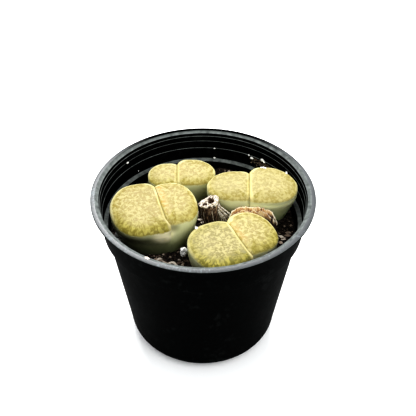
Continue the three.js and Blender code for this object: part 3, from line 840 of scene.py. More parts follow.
def polypropylene(
        name, colour, mark, mark_share, streak, roughness, reflection, settled_share):
    """Black plastic with fine scuffs of a streak's length and width and dust on its ledges, all
    turned black and without gloss by painted shade at the back of the lip."""
    material, tree, shader = start_material(name, IOR=1.49)
    place = millimetres(tree)
    parts = add(tree, "ShaderNodeSeparateXYZ", {"Vector": place})
    angle = add(tree, "ShaderNodeMath", {
        0: parts.outputs["Y"], 1: parts.outputs["X"]}, operation="ARCTAN2")
    around = add(tree, "ShaderNodeMath", {0: angle, 1: LIP_RADIUS / streak[1]},
                 operation="MULTIPLY")
    flat = add(tree, "ShaderNodeVectorMath", {0: place, 1: (1.0, 1.0, 0.0)}, operation="MULTIPLY")
    reach = add(tree, "ShaderNodeVectorMath", {0: flat}, operation="LENGTH")
    outward = add(tree, "ShaderNodeMath", {0: reach.outputs["Value"], 1: 1 / streak[0]},
                  operation="MULTIPLY")
    upward = add(tree, "ShaderNodeMath", {0: parts.outputs["Z"], 1: 1 / streak[0]},
                 operation="MULTIPLY")
    lengthened = add(tree, "ShaderNodeCombineXYZ", {"X": around, "Y": outward, "Z": upward})
    scuffs = add(tree, "ShaderNodeTexNoise", {"Vector": lengthened, "Scale": 1.0, "Detail": 3.0})
    cloudy = add(tree, "ShaderNodeTexNoise", {
        "Vector": place, "Scale": 1 / CLOUD_WIDTH, "Detail": 5.0})
    marks = add(tree, "ShaderNodeMath", {0: scuffs, 1: cloudy}, operation="MULTIPLY")
    dust = add(tree, "ShaderNodeMapRange", {
        "Value": marks, "From Min": SCUFFS_SHOW[0], "From Max": SCUFFS_SHOW[1],
        "To Max": mark_share})
    scuffed = add(tree, "ShaderNodeMix", {"Factor": dust, "A": colour, "B": mark},
                  data_type="RGBA")
    facing = add(tree, "ShaderNodeSeparateXYZ", {
        "Vector": add(tree, "ShaderNodeNewGeometry").outputs["Normal"]})
    settled = add(tree, "ShaderNodeMapRange", {
        "Value": facing.outputs["Z"], "From Min": DUSTY_SLOPES[0], "From Max": DUSTY_SLOPES[1],
        "To Max": settled_share})
    patchy = add(tree, "ShaderNodeMath", {0: settled, 1: scuffs}, operation="MULTIPLY")
    dusty = add(tree, "ShaderNodeMix", {
        "Factor": patchy, "A": scuffed, "B": linear("#8C918F")}, data_type="RGBA")
    # Painted shade: where this mask is low, at the back of the lip, the colour is painted black and
    # the gloss is taken away.
    handled = add(tree, "ShaderNodeAttribute", attribute_name="handled").outputs["Fac"]
    coloured = add(tree, "ShaderNodeMix", {
        "Factor": handled, "A": linear("#020303"), "B": dusty}, data_type="RGBA")
    glint = add(tree, "ShaderNodeMath", {0: handled, 1: reflection}, operation="MULTIPLY")
    shine = add(tree, "ShaderNodeMapRange", {
        "Value": marks, "From Min": SCUFFS_ROUGHEN[0], "From Max": SCUFFS_ROUGHEN[1],
        "To Min": roughness, "To Max": roughness + SCUFF_ROUGHNESS})
    grain = add(tree, "ShaderNodeTexNoise", {
        "Vector": place, "Scale": 1 / PLASTIC_GRAIN, "Detail": 2.0})
    bump = add(tree, "ShaderNodeBump", {
        "Height": grain, "Strength": 0.2, "Distance": 0.05 * MM})
    feed(tree, shader, {
        "Base Color": coloured, "Roughness": shine, "Specular IOR Level": glint, "Normal": bump})
    return material


class LITHOPS_OT_pot(bpy.types.Operator):
    """Build the nursery pot: stepped collar, ledge, tapered body and drained foot"""

    bl_idname = "lithops.pot"
    bl_label = "Pot"

    def execute(self, context):
        sizes = context.scene.lithops_pot
        colours = context.scene.lithops_colours
        # Injection-moulded black polypropylene with a fine satin texture: near black, with faint
        # scuffs and dust where hands have rubbed the wall, and painted shade at the back of the lip.
        satin = polypropylene(
            "moulded_polypropylene", colours.pot, linear("#6E7270"), 0.035, (2.5, 2.5), 0.6,
            0.015, 1.1)
        # The same plastic where hands and trays have burnished the lip: brighter and greyer, with
        # fine scratches across it.
        polished = polypropylene(
            "burnished_polypropylene", colours.lip, linear("#93A3A8"), 0.35, (1.6, 0.6), 0.34,
            1.0, 0.05)
        points, faces = turned(pot_profile(sizes), sizes.columns)
        pot = make_piece("nursery_pot", points, faces, satin, "pot_plastic", ["pot"])
        pot.data.materials.append(polished)
        angles = np.arange(DRAIN_HOLE_SIDES) * 2 * math.pi / DRAIN_HOLE_SIDES
        drill_ends = (FOOT_CORNER_RADIUS, -1.0)
        for i in range(DRAIN_HOLE_COUNT):
            turn = 2 * math.pi * i / DRAIN_HOLE_COUNT
            middle = np.array((math.cos(turn), math.sin(turn))) * DRAIN_HOLE_CIRCLE
            ring = middle + DRAIN_HOLE_RADIUS * np.stack((np.cos(angles), np.sin(angles)), -1)
            rings = [np.column_stack((ring, np.full(len(ring), z))) for z in drill_ends]
            drill = bare_object(
                "drill",
                loft_points((*middle, drill_ends[0]), rings, (*middle, drill_ends[1])),
                loft_faces(len(rings), len(ring)))
            join_or_cut(pot, drill, "DIFFERENCE")
        for face in pot.data.polygons:
            reach = math.hypot(*face.center[:2]) / MM
            high = face.center[2] / MM > POT_HEIGHT - BURNISHED_DEPTH
            face.material_index = int(high and reach > LIP_RADIUS - BURNISHED_WIDTH)
        points = points_of(pot)
        reach = np.hypot(points[:, 0], points[:, 1])
        lip = smooth_step(-1.2 * LIP_THICKNESS, -LIP_THICKNESS, points[:, 2] - POT_HEIGHT) * (
            smooth_step(-1.2 * LIP_WIDTH, -LIP_WIDTH, reach - LIP_RADIUS))
        # The mask of the painted shade on the lip's back, fading in between two shares of the
        # radius.
        paint(pot, "handled", 1 - lip * smooth_step(
            *LIP_BACK_PAINTED_SHADE, points[:, 1] / LIP_RADIUS))
        around = np.stack((points[:, 0], points[:, 1], 0.6 * points[:, 2]), -1)
        lower, upper = (POT_HEIGHT - depth for depth in WALL_WAVE_DEPTHS)
        free = smooth_step(*WALL_WAVE_HEIGHTS, points[:, 2]) * (
            1 - smooth_step(lower, upper, points[:, 2]))
        stray = noise_at(around, WALL_WAVE_WIDTH, 3.0) * free * sizes.waviness / MM
        points[:, :2] *= (1 + stray / np.maximum(reach, 1.0))[:, None]
        move_points(pot, points)
        return {"FINISHED"}


# Heads

def swell(value, roundness):
    return np.sign(value) * np.abs(value) ** (2 / roundness)


def mean_of_lobes(head, key):
    return (getattr(head.lobes[0], key) + getattr(head.lobes[1], key)) / 2


def lobe_surface(head, lobe, rows, angles, grow=0.0):
    """Points of a lobe, a ring for each row: x across the fissure, y along it, z up. The outline
    is a D with its straight side along the fissure, and melts lower down into half of an egg."""
    drop, share, melt, cleft = (column[:, None] for column in rows.T)
    c, s = np.cos(angles)[None], np.sin(angles)[None]
    inward = smooth_step(0.0, -0.8, c)
    outer = np.where(s > 0, head.round, OUTER_ROUNDNESS)
    inner = np.where(s > 0, BACK_ROUNDNESS, FRONT_CORNER_SQUARENESS)
    roundness = np.where(c > 0, outer, inner)
    middle = lobe.width * LOBE_MIDDLE
    overlap = lobe.overlap * smooth_step(0.0, 0.3, s)
    reach = np.where(c > 0, lobe.width - middle, middle + overlap) * swell(c, roundness)
    ahead = swell(s, roundness)
    eased = between(share, share ** INNER_SHOULDER, inward)
    stand_off = cleft + CREASE_WIDTH * np.exp(-drop / CREASE_DEPTH)
    stand_off = stand_off - lobe.hook * smooth_step(HOOK_START, 1.0, -ahead)
    lobe_x = np.maximum(middle + eased * reach, 0.0) + stand_off * inward
    lobe_y = lobe.shift + eased * lobe.length * ahead / 2
    narrowing = np.maximum(1 - (1 - share) * head.taper, 0.0)
    across = np.maximum(middle + reach, 0.0) / lobe.width
    round_end = np.sign(s) * np.sqrt(np.maximum(1 - across ** 2, 0.0))
    along = between(ahead, round_end, smooth_step(0.0, END_ROUNDING, across))
    egg_x = narrowing * lobe.width * across + cleft * inward
    egg_y = narrowing * mean_of_lobes(head, "length") * along / 2
    x = between(lobe_x, egg_x, melt) + grow * c
    y = between(lobe_y, egg_y, melt) + grow * s
    crest = between(lobe.crest, mean_of_lobes(head, "crest"), melt)
    lift = INNER_RIM_LIFT * inward * (1 - smooth_step(*INNER_RIM_FADE, drop))
    edge = between(lobe.edge, FACE_END, melt)
    fall = np.minimum(drop, FACE_END) * edge / FACE_END + np.maximum(drop - FACE_END, 0.0)
    return np.stack((lobe.side * x, y, crest - fall * (1 - lift) + 0 * x), -1)


def to_pot(head, points):
    """Points of a head's own frame in the pot's frame."""
    turn = math.radians(head.turn)
    x, y, z = np.moveaxis(points, -1, 0)
    return np.stack((
        head.x + x * math.cos(turn) - y * math.sin(turn),
        head.y + x * math.sin(turn) + y * math.cos(turn),
        z,
    ), -1)


def to_head(head, x, y):
    """A place in the pot's frame as across and along a head's fissure."""
    turn = math.radians(head.turn)
    dx, dy = x - head.x, y - head.y
    return (
        dx * math.cos(turn) + dy * math.sin(turn),
        -dx * math.sin(turn) + dy * math.cos(turn),
    )


def even_angles(head, lobe, count):
    """Angles whose points lie evenly along a lobe's outline, from the middle of the fissure."""
    t = np.linspace(0.0, 1.0, 400)
    crowded = t ** 5 / (t ** 5 + (1 - t) ** 5)
    fine = np.concatenate([math.pi / 2 * (2 + quarter + crowded) for quarter in range(4)])
    outline = lobe_surface(head, lobe, OUTLINE_ROW, fine)[0]
    steps = np.linalg.norm(np.diff(outline[:, :2], axis=0), axis=1)
    walked = np.concatenate(([0.0], np.cumsum(steps)))
    return np.interp(np.linspace(0.0, walked[-1], count, endpoint=False), walked, fine)


def fine_rows():
    """The lobe's rows on a smooth curve, close together on the face and wider down the root."""
    way = LOBE_ROWS[:, :2] * (1.0, ROW_REACH)
    walked = np.concatenate(([0.0], np.cumsum(np.linalg.norm(np.diff(way, axis=0), axis=1))))
    at = np.concatenate((
        np.arange(FACE_ROW_STEP, FACE_ROWS_END, FACE_ROW_STEP),
        np.arange(FACE_ROWS_END, SIDE_ROWS_END, SIDE_ROW_STEP),
        np.arange(SIDE_ROWS_END, walked[-1] - 0.5, ROOT_ROW_STEP),
    ))
    return smooth_curve(walked, LOBE_ROWS, at)


def make_lobe(head, lobe, rows):
    """A lobe's points and faces in the pot's frame."""
    grid = lobe_surface(head, lobe, rows, even_angles(head, lobe, LOBE_COLUMNS))
    crown = (lobe.side * lobe.width * LOBE_MIDDLE, lobe.shift, lobe.crest)
    points = loft_points(crown, grid, (0.0, 0.0, lobe.crest - LOBE_ROWS[-1, 0]))
    return to_pot(head, points), loft_faces(len(rows), LOBE_COLUMNS, flip=lobe.side < 0)


def rim_facts(head, lobe, across, along):
    """For places on a lobe: how far in from its outer rim they lie, how far round the rim they
    are, and how far forward the nearest point of the rim is."""
    angles = np.linspace(-math.pi, math.pi, RIM_POINTS)
    rim = lobe_surface(head, lobe, OUTLINE_ROW, angles)[0, :, :2]
    rim = rim[np.abs(rim[:, 0]) > RIM_START]
    walked = np.concatenate(([0.0], np.cumsum(np.linalg.norm(np.diff(rim, axis=0), axis=1))))
    tree = kdtree.KDTree(len(rim))
    for i, (x, y) in enumerate(rim):
        tree.insert((x, y, 0.0), i)
    tree.balance()
    found = [tree.find((x, y, 0.0))[1:] for x, y in zip(across, along)]
    nearest = np.array([index for index, _ in found])
    inset = np.array([distance for _, distance in found])
    forward = (lobe.shift - rim[nearest, 1]) / (lobe.length / 2)
    return inset, walked[nearest], forward


def succulent_skin(colours, sizes):
    # Living skin of a stone-like succulent, waxy and faintly translucent: pale flecks over tan
    # windows on the face, yellow flecks and olive windows running out to its front edge, a cream
    # line round its other edges that is partly a painted highlight, painted light where the face
    # turns over, a dark painted shade along the fissure, and plain grey-green sides with painted
    # light and shade lobe by lobe, a pale painted highlight where the fissure ends and painted shade
    # in the nook beside it.
    material, tree, shader = start_material(
        "succulent_skin", IOR=1.42, Specular_IOR_Level=0.35, Subsurface_Weight=0.08,
        Subsurface_Scale=0.8 * MM, Subsurface_Radius=(1.0, 0.8, 0.35))
    fact = {
        name: add(tree, "ShaderNodeAttribute", attribute_name=name).outputs["Fac"]
        for name in SKIN_MARKS
    }
    streak = add(tree, "ShaderNodeAttribute", attribute_name="streak").outputs["Vector"]
    place = millimetres(tree)
    fleck = sizes.fleck / MM

    # Round flecks and thin wandering ones on the middle of the face, and long ones at its front,
    # where the flecks run out over the rim.
    blobs = add(tree, "ShaderNodeTexNoise", {
        "Vector": place, "Scale": BLOB_WAVES / fleck, "Detail": 1.0, "Distortion": 0.7})
    round_flecks = add(tree, "ShaderNodeMapRange", {
        "Value": blobs, "From Min": 0.48, "From Max": 0.6})
    contours = add(tree, "ShaderNodeTexNoise", {
        "Vector": place, "Scale": CONTOUR_WAVES / fleck, "Detail": 1.0, "Distortion": 1.5})
    off_contour = add(tree, "ShaderNodeMath", {
        0: add(tree, "ShaderNodeMath", {0: contours, 1: 0.5}, operation="SUBTRACT")},
        operation="ABSOLUTE")
    thin_flecks = add(tree, "ShaderNodeMapRange", {
        "Value": off_contour, "From Min": 0.02, "From Max": 0.075, "To Min": 1.0, "To Max": 0.0})
    breaks = add(tree, "ShaderNodeTexNoise", {"Vector": place, "Scale": BREAK_WAVES / fleck})
    unbroken = add(tree, "ShaderNodeMapRange", {
        "Value": breaks, "From Min": 0.46, "From Max": 0.56})
    squiggles = add(tree, "ShaderNodeMath", {0: thin_flecks, 1: unbroken},
                    operation="MULTIPLY")
    middle_flecks = add(tree, "ShaderNodeMath", {
        0: round_flecks, 1: squiggles}, operation="MAXIMUM")
    rays = add(tree, "ShaderNodeTexNoise", {
        "Vector": streak, "Scale": RAY_WAVES / fleck, "Detail": 1.0, "Distortion": 1.0})
    long_flecks = add(tree, "ShaderNodeMapRange", {
        "Value": rays, "From Min": 0.44, "From Max": 0.6})
    mixed_flecks = add(tree, "ShaderNodeMix", {
        "Factor": fact["front"], "A": middle_flecks, "B": long_flecks})
    flecks = add(tree, "ShaderNodeMix", {"Factor": fact["bold"], "A": 0.5, "B": mixed_flecks})

    patches = add(tree, "ShaderNodeTexNoise", {
        "Vector": place, "Scale": 1 / PATCH_WIDTH, "Detail": 3.0})
    pinkish = add(tree, "ShaderNodeMapRange", {
        "Value": patches, "From Min": 0.42, "From Max": 0.6})
    window = add(tree, "ShaderNodeMix", {
        "Factor": pinkish, "A": colours.window, "B": linear("#A7944E")}, data_type="RGBA")
    window = add(tree, "ShaderNodeMix", {
        "Factor": fact["warm"], "A": window, "B": colours.fissure}, data_type="RGBA")
    window = add(tree, "ShaderNodeMix", {
        "Factor": fact["front"], "A": window, "B": colours.rim_mark}, data_type="RGBA")
    window = add(tree, "ShaderNodeMix", {
        "Factor": fact["green"], "A": window, "B": linear("#D3DDD2")},
        data_type="RGBA", blend_type="MULTIPLY")
    bright = add(tree, "ShaderNodeMix", {
        "Factor": fact["front"], "A": colours.fleck, "B": linear("#C1B556")}, data_type="RGBA")
    skin = add(tree, "ShaderNodeMix", {"Factor": flecks, "A": window, "B": bright},
               data_type="RGBA")
    # The cream line round the rim is partly the skin's own colour and partly a painted highlight
    # where light wraps over the rim; the margin is the pale skin along the fissure.
    for name, colour in (("edge", linear("#E2DAA6")), ("margin", linear("#DACF94"))):
        skin = add(tree, "ShaderNodeMix", {"Factor": fact[name], "A": skin, "B": colour},
                   data_type="RGBA")
    # The tone multiplies the face: the lobe's own lightness, with painted light where the skin turns
    # over.
    face = add(tree, "ShaderNodeMix", {"Factor": 1.0, "A": skin, "B": fact["tone"]},
               data_type="RGBA", blend_type="MULTIPLY")

    # Sides that turn from pale to grey green down their depth, with painted light and shade lobe by
    # lobe, a pale painted highlight where the fissure ends and a dark painted shade in the nook.
    mottle = add(tree, "ShaderNodeTexNoise", {
        "Vector": place, "Scale": 1 / MOTTLE_WIDTH, "Detail": 3.0})
    depth = add(tree, "ShaderNodeMath", {0: mottle, 1: MOTTLE_DEPTH, 2: fact["below"]},
                operation="MULTIPLY_ADD")
    lower = add(tree, "ShaderNodeMapRange", {
        "Value": depth, "From Min": GREENING[0], "From Max": GREENING[1]})
    flank = add(tree, "ShaderNodeValToRGB", {"Fac": lower}, stops=(
        (0.0, linear("#CFCFA4")), (0.35, colours.side), (1.0, linear("#99A177"))))
    # Painted light and shade on the sides: the flank mark lightens some lobes' sides and darkens
    # others'.
    shaded = add(tree, "ShaderNodeMix", {"Factor": 1.0, "A": flank, "B": fact["flank"]},
                 data_type="RGBA", blend_type="MULTIPLY")
    # A pale painted highlight on the side where the fissure ends.
    highlighted_side = add(tree, "ShaderNodeMix", {
        "Factor": fact["bloom"], "A": shaded, "B": linear("#FAF2CC")}, data_type="RGBA")
    # Painted shade in the nook beside the corner where the fissure ends.
    side = add(tree, "ShaderNodeMix", {
        "Factor": fact["nook"], "A": highlighted_side, "B": linear("#52521F")}, data_type="RGBA")
    wander = add(tree, "ShaderNodeMath", {
        0: rays, 1: -2 * sizes.ragged / MM, 2: fact["below"]}, operation="MULTIPLY_ADD")
    is_side = add(tree, "ShaderNodeMapRange", {
        "Value": wander, "From Min": -sizes.ragged / MM - FACE_EDGE_BLUR,
        "From Max": -sizes.ragged / MM + FACE_EDGE_BLUR})
    skin = add(tree, "ShaderNodeMix", {"Factor": is_side, "A": face, "B": side},
               data_type="RGBA")
    # Painted shade along the fissure, a dark line where the crease falls in shadow.
    colour = add(tree, "ShaderNodeMix", {
        "Factor": fact["cleft"], "A": skin, "B": linear("#5C5526")}, data_type="RGBA")
    bump = add(tree, "ShaderNodeBump", {
        "Height": flecks, "Strength": 0.35, "Distance": 0.1 * MM})
    pores = add(tree, "ShaderNodeTexNoise", {
        "Vector": place, "Scale": 1 / PORE_WIDTH, "Detail": 2.0})
    fine = add(tree, "ShaderNodeBump", {
        "Height": pores, "Normal": bump, "Strength": 0.3, "Distance": 0.04 * MM})
    gloss = add(tree, "ShaderNodeMapRange", {"Value": flecks, "To Min": 0.42, "To Max": 0.55})
    feed(tree, shader, {"Base Color": colour, "Roughness": gloss, "Normal": fine})
    return material


class LITHOPS_OT_heads(bpy.types.Operator):
    """Build the four heads, each of two lobes grown together round a fissure"""

    bl_idname = "lithops.heads"
    bl_label = "Heads"

    def execute(self, context):
        sizes = context.scene.lithops_heads
        skin = succulent_skin(context.scene.lithops_colours, sizes)
        rows = fine_rows()
        for head in HEADS:
            lobe, other_lobe = (make_lobe(head, lobe, rows) for lobe in head.lobes)
            piece = make_piece(
                "head_" + head.name, *lobe, skin, "lithops_skin", ["lithops_head_" + head.name])
            join_or_cut(piece, bare_object("other_lobe", *other_lobe), "UNION")
            self.mark_skin(piece, head, sizes)
        return {"FINISHED"}

    def mark_skin(self, piece, head, sizes):
        """Raises the low bumps of the faces, and keeps what the skin's pattern needs."""
        points, upright = points_of(piece), normals_of(piece)[:, 2]
        across, along = to_head(head, points[:, 0], points[:, 1])
        marks = {name: np.zeros(len(points)) for name in SKIN_MARKS}
        streak = np.zeros((len(points), 3))
        margin = sizes.margin / MM
        left, right = head.lobes
        hooked = min(left.hook, 1.0)
        corner = smooth_step(HOOK_START, 1.0, (left.shift - along) / (left.length / 2))
        border = left.hook * corner
        for lobe in head.lobes:
            mine = (across > border) == (lobe.side > 0)
            inset, walked, forward = rim_facts(head, lobe, across[mine], along[mine])
            frayed = inset + RAY_FRAY * noise_at(points[mine], RAY_FRAY_WIDTH, head.turn)
            fissure = np.abs(across - border)[mine]
            drop = lobe.crest - points[mine, 2]
            below = drop - lobe.edge * between(
                BACK_EDGE, 1.0, smooth_step(*EDGE_DROPS, forward))
            rayed = (1 - smooth_step(*RAY_REACH, frayed)) * smooth_step(*RAY_GAP, fissure)
            line_start = between(*LINE_WIDTHS, smooth_step(*LINE_WIDENS, -forward))
            line = 1 - smooth_step(line_start, line_start + LINE_FADE, inset)
            least, with_green = OLIVE_BACK
            olive = lobe.olive * between(
                least + with_green * lobe.green, 1.0, smooth_step(*OLIVE_BEGINS, forward))
            widened = margin * (1 + CORNER_MARGIN * corner[mine])
            # Painted light where the face turns over and its rim would fall in shade.
            turned_over_light = (1 - olive) * smooth_step(*PAINTED_LIGHT_TILTS, 1 - upright[mine])
            least_deep, most_deep = CLEFT_DEPTHS
            found = {
                "below": below,
                "front": olive * rayed,
                # The cream line round the rim: partly the skin's own colour, partly a painted
                # highlight.
                "edge": (1 - LINE_LOST_ON_GREEN * lobe.green) * line * (
                    1 - smooth_step(*LINE_ENDS, forward)),
                "margin": lobe.pale * (1 - smooth_step(
                    MARGIN_FADE[0] * widened, MARGIN_FADE[1] * widened, fissure)),
                "warm": WARM_SHARE * lobe.warmth * (1 - smooth_step(
                    margin, WARM_REACH, fissure)) * smooth_step(*WARM_ALONG, along[mine]),
                "green": lobe.green,
                "tone": lobe.tone * (1 + TURNED_OVER_PAINTED_LIGHT * turned_over_light),
                "bold": lobe.bold,
                # Painted shade along the fissure.
                "cleft": CLEFT_PAINTED_SHADE * (1 - smooth_step(*CLEFT_WIDTHS, fissure)) * (
                    1 - smooth_step(least_deep, most_deep - CLEFT_HOOKED * hooked, below)),
            }
            for name, values in found.items():
                marks[name][mine] = values
            streak[mine] = np.stack((walked, RAY_SHARE * (inset - drop), 0 * walked), -1)
            streak[mine] += lobe.crest * lobe.side
        below = marks["below"]
        # Painted light and shade on the sides, lobe by lobe, blended across the fissure.
        flank = between(left.flank, right.flank, smooth_step(*SIDE_PAINTED_LIGHTS_MEET, across))
        marks["flank"] = between(1.0, flank, smooth_step(*SIDE_PAINTED_LIGHT_BEGINS, below))
        # A painted highlight where the fissure ends in front, and painted shade in the nook beside
        # its corner.
        at_end = (along < 0) * hooked
        for name, spot in FISSURE_END_MARKS.items():
            middle, half_width, deep, half_height, strength, even = spot
            off = np.hypot((across - middle) / half_width, (below - deep) / half_height)
            marks[name] = strength * at_end * (1 - smooth_step(even, 1.0, off))
        for name, values in marks.items():
            paint(piece, name, values)
        paint(piece, "streak", streak)
        face = (1 - smooth_step(*BUMPS_END, below)) * smooth_step(*BUMP_GAP, np.abs(across))
        bumps = layered_noise(points, FACE_BUMPS, head.turn)
        lift = bumps * face * sizes.relief / MM
        move_points(piece, points + normals_of(piece) * lift[:, None])


# Soil

def soil_height(x, y):
    """The lie of the soil: low waves over the level, a little higher towards the back right."""
    waves = np.sin(0.31 * x + 1.3) * np.cos(0.27 * y - 0.4) + np.sin(0.13 * x + 0.17 * y)
    return SOIL_LEVEL + SOIL_RELIEF * waves / 2 + SOIL_RISE * (x + y)


def head_reach(head, x, y, grow):
    """Under 1 inside a head's round body at the soil, grown by a distance."""
    across, along = to_head(head, x, y)
    drop = np.array((HEAD_CREST - SOIL_LEVEL,))
    row = smooth_curve(LOBE_ROWS[:, 0], LOBE_ROWS, drop)[0]
    narrowing = 1 - (1 - row[1]) * head.taper
    width = head.lobes[1 if across > 0 else 0].width * narrowing + grow
    length = mean_of_lobes(head, "length") * narrowing / 2 + grow
    return (across / width) ** 2 + (along / length) ** 2


def is_open_soil(x, y, grow):
    if math.hypot(x - STALK_FOOT[0], y - STALK_FOOT[1]) < STALK_REACH + grow:
        return False
    return all(head_reach(head, x, y, grow) > 1 for head in HEADS)


def strewn_places(rng, count, reach, grow):
    """Random places, even over the open soil between the heads."""
    places = []
    while len(places) < count:
        angle, radius = 2 * math.pi * rng.random(), reach * math.sqrt(rng.random())
        x, y = radius * math.cos(angle), radius * math.sin(angle)
        if is_open_soil(x, y, grow):
            places.append((x, y))
    return places


def ball(subdivisions):
    """Points and faces of a unit ball of triangles, to be knocked into a grain's shape."""
    golden = (1 + math.sqrt(5)) / 2
    points = [
        Vector(p).normalized() for a in (-1, 1) for b in (-golden, golden)
        for p in ((a, b, 0), (0, a, b), (b, 0, a))
    ]
    edge = min((points[0] - p).length for p in points[1:]) * 1.01
    faces = []
    for i in range(12):
        for j in range(i + 1, 12):
            for k in range(j + 1, 12):
                a, b, c = points[i], points[j], points[k]
                if max((a - b).length, (b - c).length, (c - a).length) < edge:
                    outward = (b - a).cross(c - a).dot(a) > 0
                    faces.append((i, j, k) if outward else (i, k, j))
    for _ in range(subdivisions):
        middles, finer = {}, []
        for face in faces:
            cut = []
            for i, j in zip(face, face[1:] + face[:1]):
                key = (min(i, j), max(i, j))
                if key not in middles:
                    middles[key] = len(points)
                    points.append(((points[i] + points[j]) / 2).normalized())
                cut.append(middles[key])
            a, b, c = face
            finer += [(a, cut[0], cut[2]), (b, cut[1], cut[0]), (c, cut[2], cut[1]), tuple(cut)]
        faces = finer
    return np.array(points), faces


def join_lumps(lumps):
    """One list of points and faces from many, with the number of the lump at each point."""
    faces, start = [], 0
    for lump_points, lump_faces in lumps:
        faces += [tuple(start + i for i in face) for face in lump_faces]
        start += len(lump_points)
    owner = np.repeat(np.arange(len(lumps)), [len(points) for points, _ in lumps])
    return np.concatenate([points for points, _ in lumps]), faces, owner


def knocked(rng, shape, half_widths, rough, tilt=1.0):
    """A copy of a ball squeezed to half widths, dented at random and turned."""
    points, faces = shape
    dents = np.array([1 + rough * (rng.random() - 0.5) for _ in points])
    turn = Euler((
        tilt * rng.uniform(-1, 1), tilt * rng.uniform(-1, 1), rng.uniform(*ANY_TURN)))
    turned_points = (points * dents[:, None] * half_widths) @ np.array(turn.to_matrix()).T
    return turned_points, faces


def bark_splinter(rng, length, width, thickness, bend=None):
    """A torn flat splinter: a ragged outline with a worn upper and lower skin. A positive bend
    arches it, so that its ends point down."""
    outline = []
    for i in range(SPLINTER_SIDES):
        angle = 2 * math.pi * i / SPLINTER_SIDES
        ragged = rng.uniform(*SPLINTER_ENDS)
        outline.append((
            length / 2 * ragged * math.copysign(abs(math.cos(angle)) ** 0.6, math.cos(angle)),
            width / 2 * rng.uniform(*SPLINTER_FLANKS) * math.sin(angle),
        ))
    outline = np.array(outline)
    if bend is None:
        bend = rng.uniform(*SPLINTER_BENDS)
    rings = []
    for inset, level in SPLINTER_RINGS:
        z = np.array([level * thickness / 2 + rng.uniform(-0.1, 0.1) * thickness
                      for _ in outline])
        z -= bend * ((inset * outline[:, 0] / length) ** 2) * 4 * length
        rings.append(np.column_stack((outline * inset, z)))
    middle = (0.0, 0.0, thickness / 2)
    points = loft_points(middle, rings, (0.0, 0.0, -thickness / 2))
    return points, loft_faces(len(rings), SPLINTER_SIDES)


def peat():
    # Moist peat and loam, crumbly and matt: near black with brown fibres and paler dust.
    material, tree, shader = start_material("moist_peat", Roughness=0.92, IOR=1.4)
    place = millimetres(tree)
    crumb = add(tree, "ShaderNodeTexNoise", {
        "Vector": place, "Scale": 1 / 0.8, "Detail": 5.0, "Roughness": 0.65})
    tint = add(tree, "ShaderNodeAttribute", attribute_name="tint").outputs["Fac"]
    mixed = add(tree, "ShaderNodeMath", {0: tint, 1: 0.5, 2: crumb}, operation="MULTIPLY_ADD")
    colour = add(tree, "ShaderNodeValToRGB", {"Fac": mixed}, stops=(
        (0.4, linear("#100C0A")), (0.55, linear("#2A211B")), (0.75, linear("#5E4F43")),
        (0.95, linear("#AD9D8D"))))
    bump = add(tree, "ShaderNodeBump", {
        "Height": crumb, "Strength": 0.8, "Distance": 0.3 * MM})
    feed(tree, shader, {"Base Color": colour, "Normal": bump})
    return material


def pine_bark():
    # Shredded pine bark, dry on top: grey brown to bleached tan, with fibres along each splinter.
    material, tree, shader = start_material("pine_bark", Roughness=0.8, IOR=1.45)
    grain = add(tree, "ShaderNodeAttribute", attribute_name="grain").outputs["Vector"]
    along = add(tree, "ShaderNodeVectorMath", {0: grain, 1: (0.35, 3.0, 3.0)},
                operation="MULTIPLY")
    fibre = add(tree, "ShaderNodeTexNoise", {"Vector": along, "Scale": 1.2, "Detail": 4.0})
    tint = add(tree, "ShaderNodeAttribute", attribute_name="tint").outputs["Fac"]
    mixed = add(tree, "ShaderNodeMath", {0: fibre, 1: 0.6, 2: tint}, operation="MULTIPLY_ADD")
    colour = add(tree, "ShaderNodeValToRGB", {"Fac": mixed}, stops=(
        (0.25, linear("#1C1410")), (0.5, linear("#453830")), (0.8, linear("#8E7B6C")),
        (1.1, linear("#E6DBCD"))))
    bump = add(tree, "ShaderNodeBump", {
        "Height": fibre, "Strength": 0.8, "Distance": 0.2 * MM})
    feed(tree, shader, {"Base Color": colour, "Normal": bump})
    return material


def perlite():
    # Expanded perlite: chalk-white glass foam, matt, with pits that hold a little dirt.
    material, tree, shader = start_material("expanded_perlite", Roughness=0.95, IOR=1.5)
    place = millimetres(tree)
    pits = add(tree, "ShaderNodeTexVoronoi", {"Vector": place, "Scale": 1 / 0.35})
    colour = add(tree, "ShaderNodeValToRGB", {"Fac": pits}, stops=(
        (0.0, linear("#C9C5BD")), (0.25, linear("#F6F5F1")), (1.0, linear("#FDFCFA"))))
    bump = add(tree, "ShaderNodeBump", {
        "Height": pits, "Strength": 0.7, "Distance": 0.12 * MM})
    feed(tree, shader, {"Base Color": colour, "Normal": bump})
    return material


